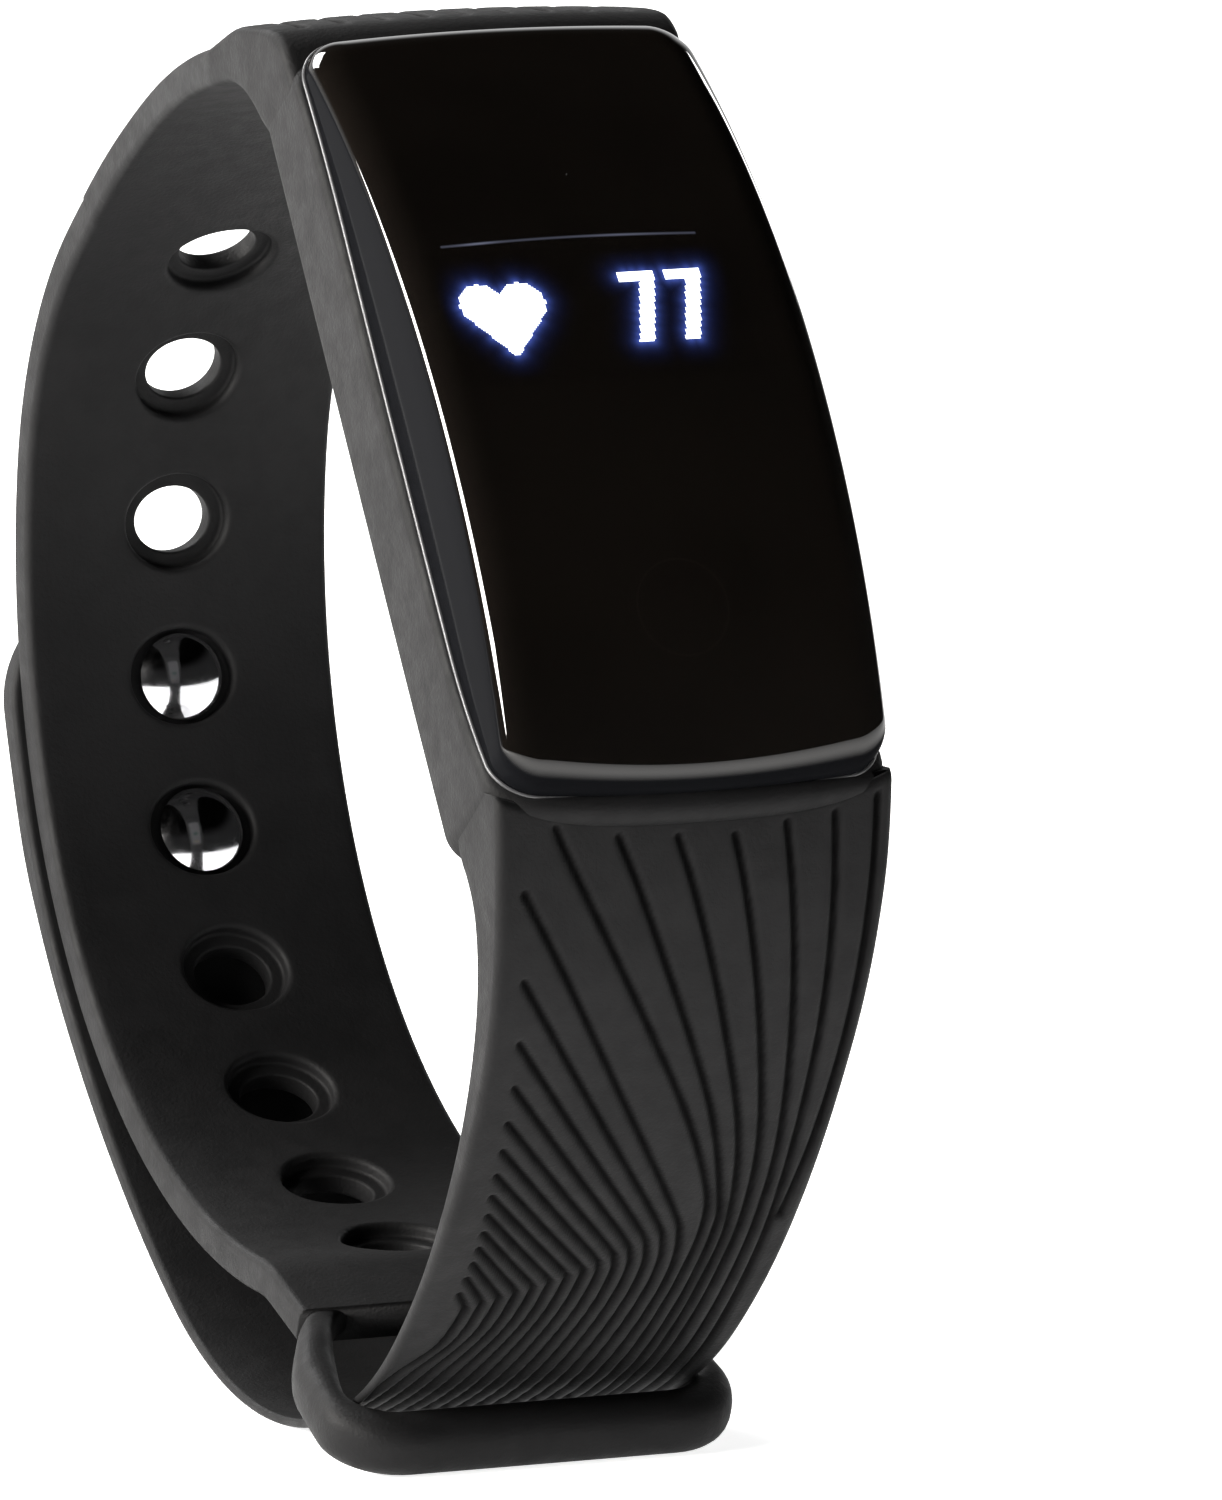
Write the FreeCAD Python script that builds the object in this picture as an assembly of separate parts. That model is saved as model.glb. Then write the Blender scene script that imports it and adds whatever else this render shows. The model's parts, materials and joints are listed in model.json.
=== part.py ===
import FreeCAD, Part
import math
import os

# Fitness tracker band, closed into a loop and standing on its strap loop.
# Millimetres.  X runs across the band, along the wearer's forearm.  -Y is the display side,
# +Y the clasp side, +Z up.  Everything is first built about the centre of the big arc at the
# back of the loop, and moved at the end so that the lowest point is at Z = 0 and the
# bounding box is centred in X and Y.

V = FreeCAD.Vector

# ---------------------------------------------------------------- driving dimensions
BACK_RADIUS = 28.0            # wrist face of the perforated strap, at the back of the loop
PERF_THICK = 1.7              # perforated strap
RIDGE_THICK = 1.5             # ridged strap
STRAP_GAP = 0.1               # between the two layers where they lie on each other
PERF_HALF = 7.45              # half width of the perforated strap
PERF_ROOT_HALF = 9.0          # half width where it leaves the cradle
RIDGE_HALF = 7.75             # half width of the ridged strap behind the loop
RIDGE_LOOP_HALF = 8.15        # half width where it passes the strap loop
RIDGE_ROOT_HALF = 9.3         # half width where it leaves the cradle

HOLE_PITCH = 7.14
HOLE_COUNT = 9
FIRST_HOLE = 1.6              # arc length from the start of the big arc to the first hole
HOLE_HALF = (1.8, 1.48)       # through hole: half sizes across and along the strap
RECESS_HALF = (2.5, 2.2)      # recess on the wrist face
RECESS_DEPTH = 0.65
STUD_HOLES = (4, 5)           # indices of the holes that the studs sit in

STUD_SHANK_R = 1.25
STUD_HEAD_R = 2.0
STUD_HEAD_RISE = 0.5          # of the domed head above the wrist face
STUD_HEAD_GAP = 0.1           # between the head's underside and the floor of the recess
PLATE_THICK = 0.5
PLATE_HALF = 3.1
PLATE_SINK = 0.25             # the clasp plate is let into the strap by this much
TIP_MARGIN = 4.4              # strap beyond the upper stud
TIP_CORNER = 5.0
PEEL_POLAR = -56.0            # degrees round the big arc, where the strap starts to peel

LOOP_TILT = 18.3              # degrees, the strap loop dips towards its bar
LOOP_BEND = 6.0               # radius of the bend between strap and loop
LOOP_THICK = 2.7
LOOP_ROUND = 1.2
LOOP_HALF = 10.0
LOOP_LENGTH = 15.4            # from the start of the bend to the front of the bar
LOOP_BAR = 2.7
LOOP_REAR = 1.3               # solid part of the loop behind its slot

POD_CENTRE = (-15.0, 10.1)    # Y, Z of the middle of the cradle's wrist face
POD_LEAN = 53.9               # degrees from the floor to the long axis of the pod
CRADLE_HALF = 9.5
CRADLE_TOP_END = 18.4
CRADLE_LOW_END = 19.4
CRADLE_HIGH = 4.5
CRADLE_LIP_HIGH = 5.7         # raised lip across the lower end, level with the strap's crest
CRADLE_LIP = 0.4
CRADLE_LEDGE = 1.0
POCKET_HALF = (8.1, 17.5)
LEDGE_HALF = (6.6, 15.6)
FIT = 0.25                    # between the pod and its pocket
POD_TRAVEL = 10.0

WINDOW_HALF = (9.2, 19.1)
WINDOW_LOW_END = 18.75        # the window's lower end stands upright inside the cradle's lip
WINDOW_TOP_END = 19.2         # its upper end runs down to the rim
WINDOW_BASE = 4.95
WINDOW_PEAK = 10.3
WINDOW_RADIUS = 48.0
WINDOW_MIDDLE = -2.6          # along the pod, where the crown is highest
WINDOW_END_ROUND = 3.0
WINDOW_EDGE_ROUND = 0.9
WINDOW_WALL = 1.1
RIM_LOW = 4.62                # of the mid frame's rim, just above the cradle's lip
RIM_HIGH = 4.88


# ---------------------------------------------------------------- helpers
def point(y, z, x=0.0):
    return V(x, y, z)


class Route:
    """A chain of straight runs and tangent arcs in the YZ plane, followed by arc length.

    A run is (length, 0) and an arc is (radius, sweep in degrees), positive to the left.
    The left side faces the wrist, so an offset is counted to the right, away from it.
    """

    def __init__(self, heading, runs, centred):
        self.parts = []
        place = V(0, 0, 0)
        turn = math.radians(heading)
        s = 0.0
        for size, sweep in runs:
            ahead = V(0, math.cos(turn), math.sin(turn))
            left = V(0, -math.sin(turn), math.cos(turn))
            if sweep == 0:
                self.parts.append(("run", s, size, place, turn, 0.0))
                place = place + ahead * size
                s += size
                continue
            side = 1 if sweep > 0 else -1
            centre = place + left * (size * side)
            angle = math.radians(sweep)
            self.parts.append(("arc", s, size * abs(angle), centre, turn, size * side))
            turn += angle
            left = V(0, -math.sin(turn), math.cos(turn))
            place = centre - left * (size * side)
            s += size * abs(angle)
        self.length = s
        shift = self.parts[centred][3] * -1
        self.parts = [(k, a, n, p + shift, t, r) for k, a, n, p, t, r in self.parts]

    def _part_at(self, s):
        for part in self.parts:
            if s <= part[1] + part[2] + 1e-9:
                return part
        return self.parts[-1]

    def at(self, s, offset=0.0, part=None):
        kind, start, length, place, turn, radius = part or self._part_at(s)
        if kind == "run":
            ahead = V(0, math.cos(turn), math.sin(turn))
            right = V(0, math.sin(turn), -math.cos(turn))
            return place + ahead * (s - start) + right * offset
        now = turn + (s - start) / radius
        right = V(0, math.sin(now), -math.cos(now))
        return place + right * (radius + offset)

    def outward(self, s):
        return (self.at(s, 1.0) - self.at(s)).normalize()

    def edges(self, s0, s1, offset):
        out = []
        for part in self.parts:
            a = max(s0, part[1])
            b = min(s1, part[1] + part[2])
            if b - a < 1e-6:
                continue
            first = self.at(a, offset, part)
            last = self.at(b, offset, part)
            if part[0] == "run":
                out.append(Part.LineSegment(first, last).toShape())
            else:
                middle = self.at((a + b) / 2, offset, part)
                out.append(Part.Arc(first, middle, last).toShape())
        return out

    def slab(self, s0, s1, inner, outer, half):
        """Closed solid between two offsets, extruded across the band."""
        low = self.edges(s0, s1, inner)
        high = self.edges(s0, s1, outer)
        ends = [
            Part.LineSegment(self.at(s0, inner), self.at(s0, outer)).toShape(),
            Part.LineSegment(self.at(s1, inner), self.at(s1, outer)).toShape(),
        ]
        return across(low + high + ends, half)


def across(edges, half, half_low=None):
    """Extrude a closed outline in the YZ plane from -half_low to half in X."""
    low = half if half_low is None else half_low
    wire = Part.Wire(Part.__sortEdges__(edges))
    face = Part.Face(wire)
    face.translate(V(-low, 0, 0))
    return face.extrude(V(low + half, 0, 0))


def outline(points):
    """Closed edges through points; a triple (a, b, 'arc') is not needed here."""
    loop = points + [points[0]]
    return [Part.LineSegment(a, b).toShape() for a, b in zip(loop, loop[1:])]


def plan_mask(points, low, high):
    """Prism of a half outline (Y, half width), mirrored in X, from Z low to high."""
    right = [V(half, y, low) for y, half in points]
    left = [V(-half, y, low) for y, half in reversed(points)]
    face = Part.Face(Part.Wire(outline(right + left)))
    return face.extrude(V(0, 0, high - low))


def front_mask(points, low, high):
    """Prism of a half outline (Z, half width), mirrored in X, from Y low to high."""
    right = [V(half, low, z) for z, half in points]
    left = [V(-half, low, z) for z, half in reversed(points)]
    face = Part.Face(Part.Wire(outline(right + left)))
    return face.extrude(V(0, high - low, 0))


def oval(half, depth, place, direction):
    """Elliptical prism: half = (across, along), grown both ways from place."""
    along = direction.cross(V(1, 0, 0)).normalize()
    x_dir, y_dir, big, small = V(1, 0, 0), along, half[0], half[1]
    if small > big:
        x_dir, y_dir, big, small = along, V(1, 0, 0), small, big
    start = place - direction * depth[0]
    curve = Part.Ellipse(start + x_dir * big, start + y_dir * small, start)
    face = Part.Face(Part.Wire(curve.toShape()))
    return face.extrude(direction * (depth[0] + depth[1]))


def rounded_plan(half, low, high, corner, side_bulge=0.0, end_bulge=0.0, centre=(0.0, 0.0)):
    """Block whose plan has bulging sides and rounded corners, in the pod's own frame."""
    hx, hy = half
    cx, cy = centre
    a = V(cx + hx - side_bulge, cy - hy + end_bulge, low)
    b = V(cx + hx - side_bulge, cy + hy - end_bulge, low)
    c = V(cx - hx + side_bulge, cy + hy - end_bulge, low)
    d = V(cx - hx + side_bulge, cy - hy + end_bulge, low)
    mids = [V(cx + hx, cy, low), V(cx, cy + hy, low), V(cx - hx, cy, low), V(cx, cy - hy, low)]
    edges = []
    for first, middle, last, bulge in zip(
            (a, b, c, d), mids, (b, c, d, a), (side_bulge, end_bulge) * 2):
        if bulge > 0:
            edges.append(Part.Arc(first, middle, last).toShape())
        else:
            edges.append(Part.LineSegment(first, last).toShape())
    solid = Part.Face(Part.Wire(edges)).extrude(V(0, 0, high - low))
    upright = [e for e in solid.Edges if abs(e.tangentAt(e.FirstParameter).z) > 0.99]
    return solid.makeFillet(corner, upright)


def block(x, y, z):
    """Box from three (low, high) pairs."""
    return Part.makeBox(x[1] - x[0], y[1] - y[0], z[1] - z[0], V(x[0], y[0], z[0]))


def rod(radius, length, place, direction):
    return Part.makeCylinder(radius, length, place, direction)


# ---------------------------------------------------------------- the two routes
# wrist face of the perforated strap: loop, bend, big arc, shoulder, top run to the cradle
perf = Route(
    LOOP_TILT,
    [(LOOP_LENGTH, 0), (LOOP_BEND, -LOOP_TILT), (BACK_RADIUS, 96.7), (17.15, 39.0), (43.0, 33.5)],
    2)
LOOP_START = LOOP_LENGTH                      # where the flat loop meets the bent strap
BIG_ARC = perf.parts[2][1]                    # arc length at the start of the big arc
PERF_END = perf.length

# wrist face of the ridged strap: down the front, round the bottom, up the outside
RIDGE_INNER = BACK_RADIUS + PERF_THICK + STRAP_GAP
TIP_POLAR = -90 + math.degrees(
    (FIRST_HOLE + HOLE_PITCH * STUD_HOLES[1]) / BACK_RADIUS + TIP_MARGIN / RIDGE_INNER)
JOIN_POLAR = -41.3                            # where the layers come together
ridge_runs = [(24.0, 25.9), (43.8, 24.0), (22.3, 69.6), (49.9, 20.5)]
start_heading = JOIN_POLAR + 90 - sum(sweep for radius, sweep in ridge_runs)
ridge = Route(start_heading, ridge_runs + [(RIDGE_INNER, TIP_POLAR - JOIN_POLAR)], 4)
TIP = ridge.length


def hole_s(index):
    return BIG_ARC + FIRST_HOLE + HOLE_PITCH * index


def ridge_s_at(polar):
    """Arc length on the ridged strap nearest to a polar angle round the big arc."""
    best = 0.0
    gap = 1e9
    steps = 4000
    for k in range(steps + 1):
        s = ridge.length * k / steps
        p = ridge.at(s)
        miss = abs(math.degrees(math.atan2(p.z, p.y)) - polar)
        if p.y > 0 and miss < gap:
            best, gap = s, miss
    return best


PEEL = ridge_s_at(PEEL_POLAR)


# ---------------------------------------------------------------- moulded band
def pod_place(shape):
    """Move a shape from the pod's frame (X, along, outward) to the building frame."""
    shape.Placement = FreeCAD.Placement(
        V(0, POD_CENTRE[0], POD_CENTRE[1]), FreeCAD.Rotation(V(1, 0, 0), POD_LEAN))
    return shape.copy()


def pod_point(along, outward, x=0.0):
    turn = math.radians(POD_LEAN)
    y = POD_CENTRE[0] + along * math.cos(turn) - outward * math.sin(turn)
    z = POD_CENTRE[1] + along * math.sin(turn) + outward * math.cos(turn)
    return V(x, y, z)


def cradle_frame():
    mid = (CRADLE_TOP_END - CRADLE_LOW_END) / 2
    half = (CRADLE_TOP_END + CRADLE_LOW_END) / 2
    body = rounded_plan((CRADLE_HALF, half), 0, CRADLE_HIGH, 1.0, 0.2, 0.0, (0, mid))
    pocket = rounded_plan(POCKET_HALF, CRADLE_LEDGE, CRADLE_HIGH + 1, 2.6, 0.15, 0.3)
    opening = rounded_plan(LEDGE_HALF, -1, CRADLE_LEDGE + 1, 2.6)
    lip = rounded_plan((CRADLE_HALF, half), CRADLE_HIGH - 1, CRADLE_LIP_HIGH, 1.0, 0.2, 0.0, (0, mid))
    lip = lip.common(block((-CRADLE_HALF + 0.6, CRADLE_HALF - 0.6),
                           (-CRADLE_LOW_END - 1, -CRADLE_LOW_END + CRADLE_LIP), (0, 20)))
    return pod_place(body.cut(pocket).cut(opening).fuse(lip).removeSplitter())


def perforated_strap():
    start = LOOP_START
    body = perf.slab(start, PERF_END, 0, PERF_THICK, PERF_ROOT_HALF + 1)
    # the root thickens into a hook that wraps the end of the cradle
    top_in = perf.at(PERF_END)
    top_out = perf.at(PERF_END, PERF_THICK)
    low = pod_point(CRADLE_TOP_END, -0.7)
    corner = pod_point(CRADLE_TOP_END, 3.9)
    crest = pod_point(CRADLE_TOP_END + 2.75, 1.1)
    shoulder = pod_point(CRADLE_TOP_END + 1.75, -2.0)
    root = [
        Part.Arc(top_in, shoulder, low).toShape(),
        Part.LineSegment(low, corner).toShape(),
        Part.Arc(corner, crest, top_out).toShape(),
        Part.LineSegment(top_out, top_in).toShape(),
    ]
    body = body.fuse(across(root, PERF_ROOT_HALF + 1)).removeSplitter()
    upper = plan_mask([(-9, PERF_ROOT_HALF), (-3, PERF_ROOT_HALF), (20, PERF_HALF), (40, PERF_HALF)],
                      0, 40)
    lower = plan_mask([(-9, PERF_HALF), (40, PERF_HALF)], -40, 0)
    body = body.common(upper.fuse(lower)).removeSplitter()
    for index in range(HOLE_COUNT):
        s = hole_s(index)
        out = perf.outward(s)
        body = body.cut(oval(HOLE_HALF, (1, PERF_THICK + 1), perf.at(s), out))
        body = body.cut(oval(RECESS_HALF, (1, RECESS_DEPTH), perf.at(s), out))
    return body


def flared_outline(neck, wide, rear, front, corner, rear_corner):
    """Closed outline that flares from a neck to a wide, round-cornered front end."""
    chord = 0.2929                           # of the corner radius, from corner to arc middle
    side = [
        V(neck, rear - rear_corner, 0),
        V(neck + (wide - neck) * 0.15, rear - rear_corner - 2.0, 0),
        V(wide, (rear + front) * 0.5, 0),
        V(wide, front + corner, 0),
    ]
    curve = Part.BezierCurve()
    curve.setPoles(side)
    turn = V(wide - corner * chord, front + corner * chord, 0)
    half = [
        curve.toShape(),
        Part.Arc(side[3], turn, V(wide - corner, front, 0)).toShape(),
    ]
    last = side[0]
    if rear_corner > 0:
        last = V(neck - rear_corner, rear, 0)
        turn = V(neck - rear_corner * chord, rear - rear_corner * chord, 0)
        half.append(Part.Arc(last, turn, side[0]).toShape())
    other = [e.mirror(V(0, 0, 0), V(1, 0, 0)) for e in half]
    closing = [
        Part.LineSegment(V(wide - corner, front, 0), V(corner - wide, front, 0)).toShape(),
        Part.LineSegment(V(-last.x, last.y, 0), last).toShape(),
    ]
    return Part.Face(Part.Wire(Part.__sortEdges__(half + other + closing)))


def strap_loop():
    """Flat ring at the end of the perforated strap; the ridged strap passes through it."""
    length = LOOP_LENGTH
    ring = flared_outline(PERF_HALF, LOOP_HALF, 0, -length, 3.2, 0).extrude(V(0, 0, LOOP_THICK))
    slot = flared_outline(6.3, LOOP_HALF - 1.5, -LOOP_REAR, -(length - LOOP_BAR), 2.4, 2.2)
    slot = slot.extrude(V(0, 0, LOOP_THICK + 2))
    slot.translate(V(0, 0, -1))
    rims = [e for e in ring.Edges
            if abs(e.CenterOfMass.y) > 1e-6 and e.BoundBox.ZLength < 1e-3]
    ring = ring.makeFillet(LOOP_ROUND, rims)
    ring = ring.cut(slot)
    mouth = [e for e in ring.Edges
             if e.BoundBox.ZLength < 1e-3 and e.distToShape(slot)[0] < 1e-4]
    ring = ring.makeFillet(0.5, mouth)
    # lay it in the plane of the first run, its middle on the middle of the strap
    start = perf.at(LOOP_START)
    rise = (LOOP_THICK - PERF_THICK) / 2
    ring.Placement = FreeCAD.Placement(V(0, 0, 0), FreeCAD.Rotation(V(1, 0, 0), LOOP_TILT))
    ring = ring.copy()
    out = perf.outward(1.0)
    ring.translate(start + out * (LOOP_THICK - rise))
    below = block((-20, 20), (-60, 60), (-60, ridge_bottom()))
    return ring.cut(below)


def ridge_bottom():
    """Height of the lowest point of the ridged strap."""
    steps = 2000
    return min(ridge.at(PEEL * k / steps, RIDGE_THICK).z for k in range(steps + 1))


def ridged_mask():
    front = front_mask([(0, RIDGE_ROOT_HALF + 0.1), (-30, RIDGE_LOOP_HALF), (-40, RIDGE_LOOP_HALF)],
                       -40, -14)
    rear = plan_mask([(-14, RIDGE_LOOP_HALF), (6, RIDGE_HALF), (40, RIDGE_HALF)], -40, 30)
    return front.fuse(rear)


def ridged_strap():
    body = ridge.slab(0, PEEL, 0, RIDGE_THICK, 12)
    # the root thickens towards the end of the cradle
    fade = 9.5
    first_in = ridge.at(0)
    first_out = ridge.at(0, RIDGE_THICK)
    inner_corner = pod_point(-CRADLE_LOW_END, 0.35)
    ridge_crest = pod_point(-CRADLE_LOW_END, 4.9)
    lip = ridge.at(0.9, RIDGE_THICK + 0.15)
    belly = ridge.at(4.6, -0.9)
    merge = ridge.at(fade, 0.0)
    root = [
        Part.LineSegment(ridge_crest, inner_corner).toShape(),
        Part.Arc(inner_corner, belly, merge).toShape(),
        Part.LineSegment(merge, ridge.at(fade, RIDGE_THICK * 0.5)).toShape(),
        Part.LineSegment(ridge.at(fade, RIDGE_THICK * 0.5), ridge.at(0.9, RIDGE_THICK * 0.5)).toShape(),
        Part.LineSegment(ridge.at(0.9, RIDGE_THICK * 0.5), lip).toShape(),
        Part.LineSegment(lip, ridge_crest).toShape(),
    ]
    body = body.fuse(across(root, 12))
    trim = pod_place(block((-20, 20), (-CRADLE_LOW_END, 30), (-20, 20)))
    body = body.cut(trim).removeSplitter()
    return body.common(ridged_mask()).removeSplitter()


def ridged_strap_end():
    body = ridge.slab(PEEL, TIP, 0, RIDGE_THICK, RIDGE_HALF)
    # round the two corners of the tip
    s = TIP
    out = ridge.outward(s)
    up = out.cross(V(1, 0, 0)).normalize()
    if up.z < 0:
        up = up * -1
    tip = ridge.at(s) - out * 22
    far = 60
    corners = [
        tip + V(RIDGE_HALF + 1, 0, 0) - up * far,
        tip + V(RIDGE_HALF + 1, 0, 0),
        tip - V(RIDGE_HALF + 1, 0, 0),
        tip - V(RIDGE_HALF + 1, 0, 0) - up * far,
    ]
    mask = Part.Face(Part.Wire(outline(corners))).extrude(out * 30)
    edges = [e for e in mask.Edges
             if abs(e.tangentAt(e.FirstParameter).dot(out)) > 0.99
             and (e.CenterOfMass - tip).dot(up) > -1]
    mask = mask.makeFillet(TIP_CORNER, edges)
    body = body.common(mask)
    for index in STUD_HOLES:
        s = stud_s(index)
        body = body.cut(rod(STUD_SHANK_R, 6, ridge.at(s, -2), ridge.outward(s)))
    return body.cut(plate_solid(0.0))


def stud_s(index):
    """Arc length on the ridged strap opposite a hole of the perforated strap."""
    polar = -90 + math.degrees((FIRST_HOLE + HOLE_PITCH * index) / BACK_RADIUS)
    return TIP - math.radians(TIP_POLAR - polar) * RIDGE_INNER


def plate_solid(clearance):
    """Curved oval plate across the outside of the strap end, under both studs."""
    low = stud_s(STUD_HOLES[0]) - 2.9
    high = stud_s(STUD_HOLES[1]) + 2.9
    inner = RIDGE_THICK - PLATE_SINK
    plate = ridge.slab(low, high, inner, inner + PLATE_THICK, PLATE_HALF + clearance)
    ends = [e for e in plate.Edges
            if e.Length < PLATE_THICK * 1.3 and abs(e.tangentAt(e.FirstParameter).x) < 0.01]
    return plate.makeFillet(2.4, ends)


def clasp_plate():
    plate = plate_solid(0.0)
    for index in STUD_HOLES:
        s = stud_s(index)
        plate = plate.cut(rod(STUD_SHANK_R * 0.72, 6, ridge.at(s, -2), ridge.outward(s)))
    return plate


def clasp_stud(index):
    s = stud_s(index)
    out = ridge.outward(s)
    inward = out * -1
    face = ridge.at(s)                                       # wrist face of the ridged strap
    plate_inner = RIDGE_THICK - PLATE_SINK
    head_under = STRAP_GAP + PERF_THICK - RECESS_DEPTH + STUD_HEAD_GAP
    head_top = STRAP_GAP + PERF_THICK + STUD_HEAD_RISE
    flush = 0.04                                             # keeps the shoulder off the plate
    shank = rod(STUD_SHANK_R, plate_inner + head_under + 0.2 - flush,
                face + out * (plate_inner - flush), inward)
    rivet = rod(STUD_SHANK_R * 0.72, PLATE_THICK + flush, face + out * (plate_inner + PLATE_THICK),
                inward)
    rim = 0.35
    disc = rod(STUD_HEAD_R, rim, face + inward * head_under, inward)
    dome_high = head_top - head_under - rim
    ball = (STUD_HEAD_R ** 2 + dome_high ** 2) / (2 * dome_high)
    dome = Part.makeSphere(ball, face + inward * (head_under + rim + dome_high - ball))
    slice_ = rod(STUD_HEAD_R, dome_high, face + inward * (head_under + rim), inward)
    return shank.fuse(rivet).fuse(disc).fuse(dome.common(slice_)).removeSplitter()


# ---------------------------------------------------------------- pod shells
def crown_block(half_x, low_end, top_end, base, peak, radius, end_round):
    """Block with a cylindrical crown along its length, rolled over at both ends."""
    heart = V(0, WINDOW_MIDDLE, peak - radius)
    edges = []
    touches = []
    feet = []
    for sign, end in ((-1, low_end), (1, top_end)):
        ball_y = sign * (end - end_round)
        reach = ball_y - heart.y
        ball = V(0, ball_y, heart.z + math.sqrt((radius - end_round) ** 2 - reach ** 2))
        away = (ball - heart).normalize()
        touch = ball + away * end_round
        start = math.atan2(away.z, away.y * sign)
        stop = 0.0
        if ball.z < base:
            stop = math.asin((base - ball.z) / end_round)
        rim = ball + V(0, sign * math.cos(stop), math.sin(stop)) * end_round
        mid = (start + stop) / 2
        roll = ball + V(0, sign * math.cos(mid), math.sin(mid)) * end_round
        edges.append(Part.Arc(touch, roll, rim).toShape())
        foot = V(0, rim.y, base)
        if rim.z > base + 1e-6:
            edges.append(Part.LineSegment(rim, foot).toShape())
        touches.append(touch)
        feet.append(foot)
    edges.append(Part.Arc(touches[0], V(0, heart.y, peak), touches[1]).toShape())
    edges.append(Part.LineSegment(feet[0], feet[1]).toShape())
    return across(edges, half_x)


def display_window():
    body = crown_block(WINDOW_HALF[0] + 1, WINDOW_LOW_END, WINDOW_TOP_END, WINDOW_BASE, WINDOW_PEAK,
                       WINDOW_RADIUS, WINDOW_END_ROUND)
    body = body.common(rounded_plan(WINDOW_HALF, 0, 20, 3.0, 0.15, 0.8))
    rim = [e for e in body.Edges if e.BoundBox.ZMax > WINDOW_BASE + 0.02
           and abs(e.tangentAt(e.FirstParameter).z) < 0.95]
    top = [e for e in rim if on_side(e)]
    body = body.makeFillet(WINDOW_EDGE_ROUND, top)
    wall = WINDOW_WALL
    hollow = crown_block(WINDOW_HALF[0], WINDOW_LOW_END - wall * 1.5, WINDOW_TOP_END - wall * 2,
                         WINDOW_BASE - 0.5, WINDOW_PEAK - wall, WINDOW_RADIUS - wall,
                         WINDOW_END_ROUND - wall)
    hollow = hollow.common(
        rounded_plan((WINDOW_HALF[0] - wall, WINDOW_HALF[1] - wall * 1.5), 0, 20, 2.2))
    return body.cut(hollow)


def on_side(edge):
    """True for an edge of the window's upper face along one of its long sides."""
    middle = edge.valueAt((edge.FirstParameter + edge.LastParameter) / 2)
    return abs(middle.x) > WINDOW_HALF[0] - 0.4


def frame_ring(outer, inner, low, high, outer_corner, inner_corner):
    ring = rounded_plan(outer, low, high, outer_corner, 0.15, 0.5)
    return ring.cut(rounded_plan(inner, low - 1, high + 1, inner_corner))


def window_adhesive():
    return frame_ring((8.6, 17.9), (7.95, 16.95), RIM_HIGH, WINDOW_BASE, 2.8, 2.0)


def mid_frame():
    rim = frame_ring((8.95, 18.1), (7.0, 16.3), RIM_LOW, RIM_HIGH, 2.9, 2.0)
    skirt = frame_ring((POCKET_HALF[0] - FIT, POCKET_HALF[1] - FIT), (7.0, 16.3), 4.3, RIM_LOW, 2.4, 2.0)
    return rim.fuse(skirt).removeSplitter()


def case_gasket():
    return frame_ring((7.6, 17.0), (7.2, 16.5), 4.1, 4.3, 2.3, 2.0)


HUMP = (5.2, 4.4)
SENSOR_OPENING = (3.4, 2.5)
CONTACT_X = 2.2
CONTACT_Y = -11.0


def flat_oval(half, low, high, centre=(0.0, 0.0)):
    return oval(half, (0, high - low), V(centre[0], centre[1], low), V(0, 0, 1))


def rear_case():
    half = (POCKET_HALF[0] - FIT, POCKET_HALF[1] - FIT)
    tub = rounded_plan(half, CRADLE_LEDGE + 0.1, 4.1, 2.4, 0.15, 0.3)
    island_half = (LEDGE_HALF[0] - FIT, LEDGE_HALF[1] - FIT)
    island = rounded_plan(island_half, -0.1, CRADLE_LEDGE + 0.2, 2.4)
    hump = flat_oval(HUMP, -0.9, 0.0)
    rim = [e for e in hump.Edges if e.CenterOfMass.z < -0.85]
    hump = hump.makeFillet(0.6, rim)
    body = tub.fuse(island).fuse(hump).removeSplitter()
    wall = 0.8
    room = rounded_plan((half[0] - wall, half[1] - wall), CRADLE_LEDGE + 0.9, 6, 1.8)
    well = rounded_plan((island_half[0] - wall, island_half[1] - wall), 0.7, 3, 1.6)
    body = body.cut(room).cut(well)
    body = body.cut(flat_oval(SENSOR_OPENING, -2, 2))
    for side in (-1, 1):
        body = body.cut(rod(0.9, 3, V(side * CONTACT_X, CONTACT_Y, -1), V(0, 0, 1)))
    return body


def sensor_window():
    return flat_oval((SENSOR_OPENING[0], SENSOR_OPENING[1]), -0.8, -0.15)


def charge_contacts():
    solids = []
    for side in (-1, 1):
        place = V(side * CONTACT_X, CONTACT_Y, -0.2)
        pin = rod(0.9, 1.0, place, V(0, 0, 1))
        head = rod(1.2, 0.3, place + V(0, 0, 0.9), V(0, 0, 1))
        solids.append(pin.fuse(head).removeSplitter())
    return Part.makeCompound(solids)


# ---------------------------------------------------------------- inside the pod
OLED_Y = (-2.0, 9.5)
BOARD_LOW = 4.7
BOARD_HIGH = 5.3
MOTOR_Y = 12.6
MOTOR_Z = 2.7


def main_board():
    board = rounded_plan((6.7, 15.8), BOARD_LOW, BOARD_HIGH, 1.5)
    for side in (-1, 1):
        board = board.cut(rod(0.6, 2, V(side * 5.4, 0, BOARD_LOW - 0.5), V(0, 0, 1)))
    return board


def on_board(x, y, size, high):
    low = BOARD_HIGH
    return block((x - size[0] / 2, x + size[0] / 2), (y - size[1] / 2, y + size[1] / 2),
                 (low, low + high))


def display_bracket():
    body = block((-6.9, 6.9), (OLED_Y[0] - 0.6, OLED_Y[1] + 0.4), (BOARD_HIGH, 6.0))
    window = block((-5.8, 5.8), (OLED_Y[0] + 1.0, OLED_Y[1] - 1.2), (0, 10))
    return body.cut(window)


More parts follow.
